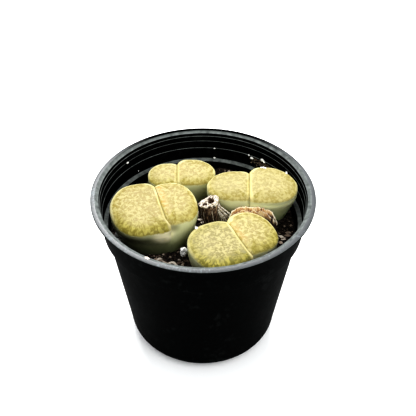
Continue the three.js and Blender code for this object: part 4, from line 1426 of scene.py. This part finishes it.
class LITHOPS_OT_soil(bpy.types.Operator):
    """Build the soil bed and strew it with crumbs, bark chips and perlite"""

    bl_idname = "lithops.soil"
    bl_label = "Soil"

    def execute(self, context):
        sizes = context.scene.lithops_soil
        rng = random.Random(sizes.seed)
        soil, bark, white = peat(), pine_bark(), perlite()
        self.make_bed(soil)
        self.make_crumbs(rng, sizes, soil)
        self.make_chips(rng, sizes, bark)
        self.make_perlite(rng, sizes, white)
        return {"FINISHED"}

    def make_bed(self, material):
        angles = np.arange(SOIL_COLUMNS) * 2 * math.pi / SOIL_COLUMNS
        rim = body_radius(SOIL_LEVEL) - WALL - SOIL_WALL_PLAY
        rings = []
        for radius in np.linspace(rim / SOIL_RINGS, rim, SOIL_RINGS):
            x, y = radius * np.cos(angles), radius * np.sin(angles)
            flat = np.stack((x, y, 0 * x), -1)
            lumps = layered_noise(flat, SOIL_LUMPS)
            rings.append(np.stack((x, y, soil_height(x, y) + lumps), -1))
        floor = RECESS_HEIGHT + FLOOR + SOIL_WALL_PLAY
        for height in SOIL_SIDE_HEIGHTS:
            radius = body_radius(height) - WALL - SOIL_WALL_PLAY
            rings.append(level_ring(radius, angles, height))
        corner_middle = body_radius(FOOT_CORNER_RADIUS) - FOOT_CORNER_RADIUS
        corner_reach = FOOT_CORNER_RADIUS - WALL - SOIL_WALL_PLAY
        floor_radius = corner_middle + math.sqrt(
            corner_reach ** 2 - (FOOT_CORNER_RADIUS - floor) ** 2)
        rings.append(level_ring(floor_radius, angles, floor))
        top = (0.0, 0.0, float(rings[0][:, 2].mean()))
        bed = make_piece(
            "soil_bed", loft_points(top, rings, (0.0, 0.0, floor)),
            loft_faces(len(rings), SOIL_COLUMNS), material, "potting_soil", ["soil"])
        for head in HEADS:
            join_or_cut(bed, self.root_cutter(head), "DIFFERENCE")
        paint(bed, "tint", np.zeros(len(bed.data.vertices)))

    def root_cutter(self, head):
        """The hole that a head stands in: its round body below the fissure, with some play."""
        rows = LOBE_ROWS[LOBE_ROWS[:, 0] >= ROUND_BODY_DROP]
        at = np.linspace(rows[0, 0], rows[-1, 0] - 1.0, 40)
        drop, share = smooth_curve(rows[:, 0], rows, at)[:, :2].T[..., None]
        narrowing = 1 - (1 - share) * head.taper
        angles = np.linspace(0, 2 * math.pi, 120, endpoint=False)[None]
        widths = np.where(np.cos(angles) > 0, head.lobes[1].width, head.lobes[0].width)
        x = (narrowing * widths + HOLE_PLAY) * np.cos(angles)
        y = (narrowing * mean_of_lobes(head, "length") / 2 + HOLE_PLAY) * np.sin(angles)
        crest = mean_of_lobes(head, "crest")
        grid = np.stack((x, y, crest - drop + 0 * x), -1)
        points = loft_points((0, 0, crest - rows[0, 0] + 0.5), grid, (0, 0, crest - 40.5))
        return bare_object("root_hole", to_pot(head, points), loft_faces(*grid.shape[:2]))

    def make_crumbs(self, rng, sizes, material):
        shape = ball(0)
        lumps, tints = [], []
        for x, y in strewn_places(rng, sizes.crumbs, *CRUMB_STREWN):
            half = CRUMB_HALF_WIDTH + CRUMB_SPREAD * rng.random() ** 2.5
            widths = np.array((half, half * rng.uniform(0.5, 1), half * rng.uniform(0.5, 0.9)))
            points, faces = knocked(rng, shape, widths, 0.5)
            lift = rng.uniform(*CRUMB_LIFTS)
            lumps.append((points + (x, y, soil_height(x, y) + lift), faces))
            tints.append(rng.random() ** 2)
        points, faces, owner = join_lumps(lumps)
        crumbs = make_piece("soil_crumbs", points, faces, material, "potting_soil", smooth=False)
        paint(crumbs, "tint", np.array(tints)[owner])

    def make_chips(self, rng, sizes, material):
        chips = [
            (x, y, soil_height(x, y) + PLACED_CHIP_LIFT, length, width, PLACED_CHIP_THICKNESS,
             Euler((0.0, math.radians(tilt), math.radians(turn))), arch, pale)
            for x, y, length, width, turn, tilt, arch, pale in BARK_CHIPS
        ]
        for x, y in strewn_places(rng, sizes.chips, *CHIP_STREWN):
            chips.append((
                x, y, soil_height(x, y) + rng.uniform(*CHIP_LIFTS), rng.uniform(*CHIP_LENGTHS),
                rng.uniform(*CHIP_WIDTHS), rng.uniform(*CHIP_THICKNESSES),
                Euler([rng.uniform(*span) for span in (CHIP_TILTS, CHIP_TILTS, ANY_TURN)]),
                None, CHIP_PALEST * rng.random() ** 2.2))
        lumps, grains, tints = [], [], []
        for x, y, z, length, width, thickness, turn, arch, pale in chips:
            points, faces = bark_splinter(rng, length, width, thickness, arch)
            lumps.append((points @ np.array(turn.to_matrix()).T + (x, y, z), faces))
            grains.append(points + 7 * len(lumps))
            tints.append(pale)
        points, faces, owner = join_lumps(lumps)
        chips = make_piece("bark_chips", points, faces, material, "potting_soil", smooth=False)
        paint(chips, "grain", np.concatenate(grains))
        paint(chips, "tint", np.array(tints)[owner])

    def make_perlite(self, rng, sizes, material):
        shape = ball(3)
        boxy = np.sign(shape[0]) * np.abs(shape[0]) ** 0.75
        places = list(PERLITE_GRAINS)
        for x, y in strewn_places(rng, sizes.grains, *GRAIN_STREWN):
            half = rng.uniform(*GRAIN_HALF_WIDTHS)
            places.append((x, y, half, half))
        lumps = []
        for x, y, half, lift in places:
            widths = np.array((half, half * rng.uniform(0.75, 1), half * rng.uniform(0.7, 0.9)))
            points, faces = knocked(rng, (boxy, shape[1]), widths, 0.0, 0.5)
            dents = 1 + 0.3 * noise_at(points, 0.8 * half, x) + 0.1 * noise_at(points, 0.3, y)
            points = points * dents[:, None]
            lumps.append((points + (x, y, soil_height(x, y) + lift), faces))
        points, faces, _ = join_lumps(lumps)
        make_piece("perlite_grains", points, faces, material, "potting_soil")
        self.make_head_crumbs(rng, material)

    def make_head_crumbs(self, rng, material):
        """Crumbs of perlite that were dropped on the heads, each on the skin under it."""
        shape = ball(2)
        lumps = []
        for name, x, y, half in HEAD_CRUMBS:
            above = Vector((x, y, 2 * POT_HEIGHT)) * MM
            hit, place, _, _ = bpy.data.objects["head_" + name].ray_cast(above, (0, 0, -1))
            if not hit:
                raise RuntimeError(f"no skin of {name} under a crumb")
            widths = np.array((half, half * rng.uniform(0.7, 1), half * rng.uniform(0.5, 0.7)))
            points, faces = knocked(rng, shape, widths, 0.3, 0.5)
            lumps.append((points + np.array(place) / MM + (0, 0, 0.3 * half), faces))
        points, faces, _ = join_lumps(lumps)
        make_piece("perlite_crumbs", points, faces, material, "potting_soil")


class LITHOPS_OT_wall_litter(bpy.types.Operator):
    """Build the grit and the smear of soil stuck to the inside of the wall"""

    bl_idname = "lithops.wall_litter"
    bl_label = "Wall litter"

    def execute(self, context):
        rng = random.Random(5)
        shape = ball(2)
        specks = []
        for degrees, depth, half in WALL_SPECKS:
            widths = np.array((half, 0.6 * half, 0.7 * half))
            specks.append(self.on_wall(rng, shape, degrees, depth, widths))
        points, faces, _ = join_lumps(specks)
        make_piece("wall_grit", points, faces, perlite(), "potting_soil")
        points, faces = bark_splinter(rng, *FLAKE_SIZE, FLAKE_ARCH)
        placed = points @ np.array(Euler(FLAKE_TURN).to_matrix()).T + FLAKE_PLACE
        flake = make_piece(
            "lip_flake", placed, faces, bpy.data.materials["pine_bark"], "potting_soil",
            smooth=False)
        paint(flake, "grain", points)
        paint(flake, "tint", np.full(len(points), FLAKE_TINT))
        smear, tints = [], []
        shape = ball(0)
        for _ in range(WALL_SMEAR_BITS):
            degrees = rng.triangular(*WALL_SMEAR_ANGLES, WALL_SMEAR_DENSEST[0])
            depth = rng.triangular(*WALL_SMEAR_DEPTHS, WALL_SMEAR_DENSEST[1])
            half = rng.uniform(*WALL_SMEAR_HALF_WIDTHS)
            widths = np.array((half, 0.4 * half, half * rng.uniform(0.5, 1)))
            smear.append(self.on_wall(rng, shape, degrees, depth, widths))
            tints.append(rng.uniform(*WALL_SMEAR_TINTS))
        points, faces, owner = join_lumps(smear)
        piece = make_piece(
            "wall_soil_smear", points, faces, bpy.data.materials["moist_peat"], "potting_soil",
            smooth=False)
        paint(piece, "tint", np.array(tints)[owner])
        return {"FINISHED"}

    def on_wall(self, rng, shape, degrees, depth, widths):
        """A bit lying flat on the wall: wide along and up the wall, thin off it."""
        points, faces = shape
        dents = np.array([rng.uniform(0.75, 1.15) for _ in points])
        points = points * dents[:, None] * widths
        angle = math.radians(degrees)
        turn = Matrix.Rotation(angle + math.pi / 2, 3, "Z")
        reach = wall_radius(depth) - 0.3 * widths[1]
        middle = (reach * math.cos(angle), reach * math.sin(angle), POT_HEIGHT - depth)
        return points @ np.array(turn).T + middle, faces


# Dry remains

def dry_leaf():
    # Old leaf dried to paper: salmon and russet with fine veins, bleached cream at its torn edge
    # and at its two ends, and painted nearly black near the soil, a painted shade.
    material, tree, shader = start_material("dried_leaf_paper", Roughness=0.75, IOR=1.45)
    leaf = add(tree, "ShaderNodeAttribute", attribute_name="leaf").outputs["Vector"]
    bleach = add(tree, "ShaderNodeAttribute", attribute_name="bleach").outputs["Fac"]
    lengthened = add(tree, "ShaderNodeVectorMath", {0: leaf, 1: (1.4, 0.35, 1.0)},
                     operation="MULTIPLY")
    veins = add(tree, "ShaderNodeTexNoise", {
        "Vector": lengthened, "Scale": 1.0, "Detail": 5.0, "Roughness": 0.6})
    blotch = add(tree, "ShaderNodeTexNoise", {"Vector": leaf, "Scale": 0.35, "Detail": 2.0})
    mixed = add(tree, "ShaderNodeMath", {0: blotch, 1: 0.6, 2: veins},
                operation="MULTIPLY_ADD")
    body = add(tree, "ShaderNodeValToRGB", {"Fac": mixed}, stops=(
        (0.62, linear("#71492F")), (0.76, linear("#C49A6C")), (0.94, linear("#EBD6A8"))))
    rise = add(tree, "ShaderNodeAttribute", attribute_name="rise").outputs["Fac"]
    ragged = add(tree, "ShaderNodeMath", {0: blotch, 1: 0.15, 2: rise},
                 operation="MULTIPLY_ADD")
    # Painted shade: the leaf is painted nearly black low down, where it stands in shadow.
    low_painted_shade = add(tree, "ShaderNodeMapRange", {
        "Value": ragged, "From Min": 0.85, "From Max": 0.96, "To Min": 1.0, "To Max": 0.0})
    body = add(tree, "ShaderNodeMix", {"Factor": low_painted_shade, "A": body, "B": linear("#2B1B13")},
               data_type="RGBA")
    worn = add(tree, "ShaderNodeMath", {0: veins, 1: 0.5, 2: bleach}, operation="MULTIPLY_ADD")
    cream = add(tree, "ShaderNodeMapRange", {"Value": worn, "From Min": 0.6, "From Max": 0.95})
    colour = add(tree, "ShaderNodeMix", {
        "Factor": cream, "A": body, "B": linear("#F7EED6")}, data_type="RGBA")
    bump = add(tree, "ShaderNodeBump", {
        "Height": veins, "Strength": 0.8, "Distance": 0.2 * MM})
    feed(tree, shader, {"Base Color": colour, "Normal": bump})
    return material


def dry_stalk():
    # Dead flower stalk: dark brown pith and tan fibres, weathered to chalky white at its crown.
    material, tree, shader = start_material("weathered_flower_stalk", Roughness=0.85, IOR=1.45)
    stalk = add(tree, "ShaderNodeAttribute", attribute_name="stalk").outputs["Vector"]
    bleach = add(tree, "ShaderNodeAttribute", attribute_name="bleach").outputs["Fac"]
    lengthened = add(tree, "ShaderNodeVectorMath", {0: stalk, 1: (2.2, 2.2, 0.35)},
                     operation="MULTIPLY")
    fibres = add(tree, "ShaderNodeTexNoise", {
        "Vector": lengthened, "Scale": 1.0, "Detail": 4.0, "Roughness": 0.6})
    brown = add(tree, "ShaderNodeValToRGB", {"Fac": fibres}, stops=(
        (0.38, linear("#1C130E")), (0.52, linear("#55402F")), (0.68, linear("#B39A7F"))))
    sponge = add(tree, "ShaderNodeTexNoise", {"Vector": stalk, "Scale": 1 / 0.5, "Detail": 3.0})
    chalk = add(tree, "ShaderNodeValToRGB", {"Fac": sponge}, stops=(
        (0.36, linear("#6F5B49")), (0.48, linear("#CDC1AE")), (0.6, linear("#F6F2E8"))))
    worn = add(tree, "ShaderNodeMath", {0: fibres, 1: 0.5, 2: bleach}, operation="MULTIPLY_ADD")
    white = add(tree, "ShaderNodeMapRange", {"Value": worn, "From Min": 0.55, "From Max": 0.9})
    colour = add(tree, "ShaderNodeMix", {"Factor": white, "A": brown, "B": chalk},
                 data_type="RGBA")
    bump = add(tree, "ShaderNodeBump", {
        "Height": fibres, "Strength": 0.9, "Distance": 0.3 * MM})
    feed(tree, shader, {"Base Color": colour, "Normal": bump})
    return material


class LITHOPS_OT_sheath(bpy.types.Operator):
    """Build the old leaf that stands round the back of the front head"""

    bl_idname = "lithops.sheath"
    bl_label = "Dry leaf"

    def execute(self, context):
        head = next(head for head in HEADS if head.name == "front")
        material = dry_leaf()
        for seed, (name, inset, sink, torn, crumple, thickness) in enumerate(SHEATH_SKINS):
            points, marks, bleach, rise = self.make_skin(
                head, inset, sink, torn, crumple, thickness, 10 * seed)
            faces = self.skin_faces(SHEATH_COLUMNS + 1, 2 * SHEATH_LEVELS)
            skin = make_piece(
                name, to_pot(head, points), faces, material, "dry_leaf", ["dry_leaf_sheath"])
            paint(skin, "leaf", marks)
            paint(skin, "bleach", bleach)
            paint(skin, "rise", rise)
        return {"FINISHED"}

    def make_skin(self, head, inset, sink, torn, crumple, thickness, seed):
        """One skin of the leaf, a column at a time: up its inner face and down its outer one."""
        along = np.linspace(0.0, 1.0, SHEATH_COLUMNS + 1)
        rim = smooth_curve(SHEATH_RIM[:, 0], SHEATH_RIM[:, 1:], along)
        angles = np.radians(between(*SHEATH_ANGLES, along))
        foot = lobe_surface(head, head.lobes[1], OUTLINE_ROW, angles, SHEATH_FOOT_GAP)[0]
        out = np.column_stack((np.cos(angles), np.sin(angles), 0 * angles))
        line = np.column_stack((along * SHEATH_LENGTH, 0 * along, 0 * along))
        rim = rim - inset * out
        rim[:, 2] += torn * layered_noise(line, SHEATH_TEARS, seed)
        rim[:, 2] -= sink + torn / 3
        foot[:, 2] = SHEATH_FOOT
        rises = np.linspace(0.0, 1.0, SHEATH_LEVELS)
        rises = np.concatenate((rises, rises[::-1]))
        face = np.repeat((0.0, 1.0), SHEATH_LEVELS)
        shade_reach, shade_reach_end = SHEATH_SHADE_REACH
        right, left = SHEATH_BLEACHED_ENDS
        (at_end, *end_rise), (at_rim, *rim_rise) = SHEATH_END_BLEACH, SHEATH_RIM_BLEACH
        points, marks, bleach, height = [], [], [], []
        for low, high, outward, place, share in zip(foot, rim, out, line, along):
            column = between(low, high, (rises ** SHEATH_LEAN)[:, None])
            column[:, 2] = between(low[2], high[2], rises)
            at = np.column_stack((
                np.full(len(rises), place[0]), SHEATH_HEIGHT * rises, 0 * rises))
            folds = layered_noise(at, SHEATH_FOLDS, seed)
            thick = thickness * between(1.0, SHEATH_RIM_THICKNESS, rises) * face
            out_by = crumple * folds * rises + thick
            points.append(column + outward * out_by[:, None])
            # The painted shade low on the leaf reaches higher at its right end.
            height.append(rises - shade_reach * (1 - smooth_step(0.0, shade_reach_end, share)))
            marks.append(at + (0, 0, 5 * seed))
            ends = 1 - smooth_step(*right, share) + smooth_step(*left, share)
            bleach.append(
                at_end * ends * smooth_step(*end_rise, rises)
                + at_rim * smooth_step(*rim_rise, rises))
        return tuple(np.concatenate(part) for part in (points, marks, bleach, height))

    def skin_faces(self, columns, count):
        """Quads of a closed ribbon of columns, with both of its ends closed."""
        faces = []
        for column in range(columns - 1):
            a, b = column * count, (column + 1) * count
            faces += [(a + k, a + (k + 1) % count, b + (k + 1) % count, b + k)
                      for k in range(count)]
        last = (columns - 1) * count
        for k in range(count // 2 - 1):
            m = count - 1 - k
            faces.append((k, m, m - 1, k + 1))
            faces.append((last + k, last + k + 1, last + m - 1, last + m))
        return faces


class LITHOPS_OT_stalk(bpy.types.Operator):
    """Build the dried flower stalk, its open capsule and its loose fibres"""

    bl_idname = "lithops.stalk"
    bl_label = "Dry stalk"

    def execute(self, context):
        material = dry_stalk()
        angles = np.linspace(0, 2 * math.pi, STALK_COLUMNS, endpoint=False)
        crown_radii = np.interp(np.degrees(angles), *CROWN_RADII.T, period=360)
        crown_radii = crown_radii + layered_noise(level_ring(1.0, angles, 0.0), CROWN_WAVES)
        rings, bleach = [], []
        for rise in np.linspace(0.0, 1.0, STALK_LEVELS):
            ring, white = self.column_ring(angles, crown_radii, rise)
            rings.append(ring)
            bleach.append(white)
        for share in np.linspace(*CROWN_SHARES, CROWN_LEVELS):
            ring, white = self.crown_ring(angles, crown_radii, share)
            rings.append(ring)
            bleach.append(white)
        points = loft_points(rings[-1].mean(0), rings[::-1], STALK_FOOT)
        bleach = np.concatenate(([1.0], np.concatenate(bleach[::-1]), [0.0]))
        stalk = make_piece(
            "flower_stalk", points, loft_faces(len(rings), len(angles)), material, "dry_stalk",
            ["dried_flower_stalk"])
        paint(stalk, "stalk", points)
        paint(stalk, "bleach", bleach)
        self.make_fibres(material)
        return {"FINISHED"}

    def column_ring(self, angles, crown_radii, rise):
        """A ring of the fibrous column, which takes up the crown's outline at its top."""
        middle = between(STALK_FOOT, STALK_TOP, rise)
        radius = smooth_curve(STALK_ROWS[:, 0], STALK_ROWS[:, 1:], np.array([rise]))[0, 0]
        flare = smooth_step(CROWN_START, 1.0, rise)
        around = level_ring(FIBRE_RADIUS, angles, FIBRE_HEIGHT * rise)
        fibres = layered_noise(around, STALK_FIBRES)
        reach = between(np.full(len(angles), radius), crown_radii, flare)
        reach = reach + fibres * (1 - CROWN_FIBRES_LOST * flare)
        ring = np.column_stack((
            reach * np.cos(angles), STALK_DEPTH * reach * np.sin(angles), 0 * angles))
        ring[:, 2] = CROWN_TILT * ring[:, 0] * flare
        depth = (1 - rise) * (STALK_TOP - STALK_FOOT)[2]
        ragged = depth + layered_noise(around, BLEACH_RAGGED)
        white = 1 - smooth_step(0.3, BLEACHED_DEPTH, ragged)
        return ring + middle, white

    def crown_ring(self, angles, crown_radii, share):
        """A ring of the spongy crown, inside its outline, with the two pits sunk into it."""
        reach = share * crown_radii
        flat = np.column_stack((
            reach * np.cos(angles), STALK_DEPTH * reach * np.sin(angles), 0 * angles))
        sponge = layered_noise(flat, CROWN_SPONGE)
        deep, *hollow_rim = CROWN_HOLLOW
        hollow = deep * (1 - smooth_step(*hollow_rim, share))
        pit = np.zeros(len(angles))
        ragged_by, width, seed = PIT_RAGGED
        for x, y, half_x, half_y, depth in CROWN_PITS:
            away = ((flat[:, 0] - x) / half_x) ** 2 + ((flat[:, 1] - y) / half_y) ** 2
            ragged = away + ragged_by * noise_at(flat, width, seed)
            pit = np.maximum(pit, depth * (1 - smooth_step(*PIT_EDGE, ragged)))
        worn, *wear_rim = CROWN_WEAR
        edge = worn * smooth_step(*wear_rim, share)
        ring = flat.copy()
        ring[:, 2] = CROWN_TILT * flat[:, 0] + sponge - hollow - pit - edge
        mottled = CROWN_WHITE + layered_noise(flat, CROWN_MOTTLING)
        white = (1 - smooth_step(*PIT_DARKENS, pit)) * mottled
        return ring + STALK_TOP, white

    def make_fibres(self, material):
        """Loose straws: some stand round the column, and more lean from it towards the right."""
        rng = random.Random(3)
        straws = []
        for _ in range(LEANING_STRAWS):
            top = Vector([rng.uniform(*span) for span in LEANING_TOP])
            foot = Vector([rng.uniform(*span) for span in LEANING_FOOT])
            straws.append((top, foot, rng.uniform(*LEANING_WIDTHS), rng.uniform(*LEANING_BLEACH)))
        for _ in range(STANDING_STRAWS):
            angle, rise = rng.uniform(0, 2 * math.pi), rng.uniform(*STANDING_RISE)
            out = Vector((math.cos(angle), STALK_DEPTH * math.sin(angle), 0))
            top = Vector(between(STALK_FOOT, STALK_TOP, rise)) + rng.uniform(*STANDING_TOP) * out
            foot = Vector(between(STALK_FOOT, STALK_TOP, STANDING_FOOT_RISE))
            foot += rng.uniform(*STANDING_FOOT) * out
            foot.z += rng.uniform(*STANDING_FOOT_LIFT)
            straws.append(
                (top, foot, rng.uniform(*STANDING_WIDTHS), rng.uniform(*STANDING_BLEACH)))
        lumps = []
        for top, foot, width, _ in straws:
            bow = Vector([rng.uniform(*STRAW_BOW) for _ in range(3)])
            rings = []
            for t in np.linspace(0, 1, STRAW_RINGS):
                middle = top.lerp(foot, t) + bow * math.sin(math.pi * t)
                reach = width * (0.35 + 0.65 * math.sin(math.pi * min(t + 0.15, 1.0)) + 0.1)
                rings.append([
                    (middle.x + reach * math.cos(a), middle.y + 0.7 * reach * math.sin(a),
                     middle.z)
                    for a in np.arange(STRAW_SIDES) * math.pi / (STRAW_SIDES / 2)
                ])
            lumps.append((loft_points(top, rings, foot), loft_faces(STRAW_RINGS, STRAW_SIDES)))
        points, faces, owner = join_lumps(lumps)
        fibres = make_piece("stalk_fibres", points, faces, material, "dry_stalk")
        paint(fibres, "stalk", points + owner[:, None])
        paint(fibres, "bleach", np.array([straw[3] for straw in straws])[owner])


# Stage

def backdrop_paper(colour):
    # Matt photographic paper, seamless and white, with a barely seen tooth.
    material, tree, shader = start_material("backdrop_paper", Roughness=0.9, IOR=1.45)
    place = millimetres(tree)
    tooth = add(tree, "ShaderNodeTexNoise", {"Vector": place, "Scale": 1 / 1.5, "Detail": 3.0})
    shade = add(tree, "ShaderNodeMapRange", {"Value": tooth, "To Max": 0.02})
    tint = add(tree, "ShaderNodeMix", {"Factor": shade, "A": colour, "B": linear("#D8D8D6")},
               data_type="RGBA")
    feed(tree, shader, {"Base Color": tint})
    return material


class LITHOPS_OT_stage(bpy.types.Operator):
    """Build the pale floor, the soft light and the camera"""

    bl_idname = "lithops.stage"
    bl_label = "Stage"

    def execute(self, context):
        scene = context.scene
        settings = scene.lithops_stage
        self.make_floor(settings)
        self.make_light(scene, settings)
        self.make_camera(scene)
        scene.view_settings.view_transform = "Standard"
        scene.view_settings.look = "High Contrast"
        return {"FINISHED"}

    def make_floor(self, settings):
        mesh = bpy.data.meshes.new("floor")
        corners = ((-1, -1, 0), (1, -1, 0), (1, 1, 0), (-1, 1, 0))
        mesh.from_pydata(np.array(corners) * FLOOR_REACH, [], [(0, 1, 2, 3)])
        mesh.materials.append(backdrop_paper(settings.floor_colour))
        floor = bpy.data.objects.new("floor", mesh)
        bpy.context.scene.collection.objects.link(floor)

    def make_light(self, scene, settings):
        powers = {"softbox": settings.softbox_power, "side_light": settings.side_power}
        for name, (size, degrees, height_degrees) in LIGHTS.items():
            box = bpy.data.lights.new(name, "AREA")
            box.shape = "RECTANGLE"
            box.size, box.size_y = size
            box.energy = powers[name]
            light = bpy.data.objects.new(name, box)
            angle, height = math.radians(degrees), math.radians(height_degrees)
            light.location = LIGHT_DISTANCE * Vector((
                math.cos(height) * math.cos(angle), math.cos(height) * math.sin(angle),
                math.sin(height)))
            aim = Vector((0, 0, POT_HEIGHT * MM)) - light.location
            light.rotation_euler = aim.to_track_quat("-Z", "Y").to_euler()
            scene.collection.objects.link(light)
        world = bpy.data.worlds.new("studio")
        world.use_nodes = True
        backdrop = world.node_tree.nodes["Background"]
        backdrop.inputs["Color"].default_value = linear("#F4F6F8")
        backdrop.inputs["Strength"].default_value = settings.fill_strength
        scene.world = world

    def make_camera(self, scene):
        lens = bpy.data.cameras.new("camera")
        lens.lens, lens.sensor_width = CAMERA_LENS, SENSOR_WIDTH
        lens.clip_start, lens.clip_end = CAMERA_CLIPS
        camera = bpy.data.objects.new("camera", lens)
        height = math.radians(CAMERA_HEIGHT_ANGLE)
        place = Vector((0, -CAMERA_DISTANCE * math.cos(height), CAMERA_DISTANCE * math.sin(height)))
        place.z += POT_HEIGHT * MM
        turn = (
            Matrix.Rotation(math.radians(-CAMERA_YAW), 4, "Z")
            @ Matrix.Rotation(math.radians(90 - CAMERA_PITCH), 4, "X")
            @ Matrix.Rotation(math.radians(CAMERA_ROLL), 4, "Z")
        )
        camera.matrix_world = Matrix.Translation(place) @ turn
        scene.collection.objects.link(camera)
        scene.camera = camera


class LITHOPS_PT_sidebar(bpy.types.Panel):
    """Lists the sizes and colours, with a button for each step"""

    bl_label = "Potted lithops"
    bl_space_type = "VIEW_3D"
    bl_region_type = "UI"
    bl_category = "Lithops"

    def draw(self, context):
        for group in GROUPS:
            box = self.layout.box()
            box.label(text=group)
            settings = getattr(context.scene, group)
            for key in settings.bl_rna.properties.keys():
                if key not in ("rna_type", "name"):
                    box.prop(settings, key)
        for step in STEPS:
            self.layout.operator(step.bl_idname)


GROUPS = {
    "lithops_pot": PotSizes,
    "lithops_heads": HeadSizes,
    "lithops_soil": SoilSizes,
    "lithops_colours": LithopsColours,
    "lithops_stage": StageSettings,
}
STEPS = (
    LITHOPS_OT_stage,
    LITHOPS_OT_pot,
    LITHOPS_OT_heads,
    LITHOPS_OT_soil,
    LITHOPS_OT_wall_litter,
    LITHOPS_OT_sheath,
    LITHOPS_OT_stalk,
)


def register():
    for item in (*GROUPS.values(), *STEPS, LITHOPS_PT_sidebar):
        bpy.utils.register_class(item)
    for name, group in GROUPS.items():
        setattr(bpy.types.Scene, name, bpy.props.PointerProperty(type=group))


def unregister():
    for name in GROUPS:
        delattr(bpy.types.Scene, name)
    for item in (LITHOPS_PT_sidebar, *reversed(STEPS), *GROUPS.values()):
        bpy.utils.unregister_class(item)


def main():
    register()
    for step in STEPS:
        group, name = step.bl_idname.split(".")
        getattr(getattr(bpy.ops, group), name)()


if __name__ == "__main__":
    main()
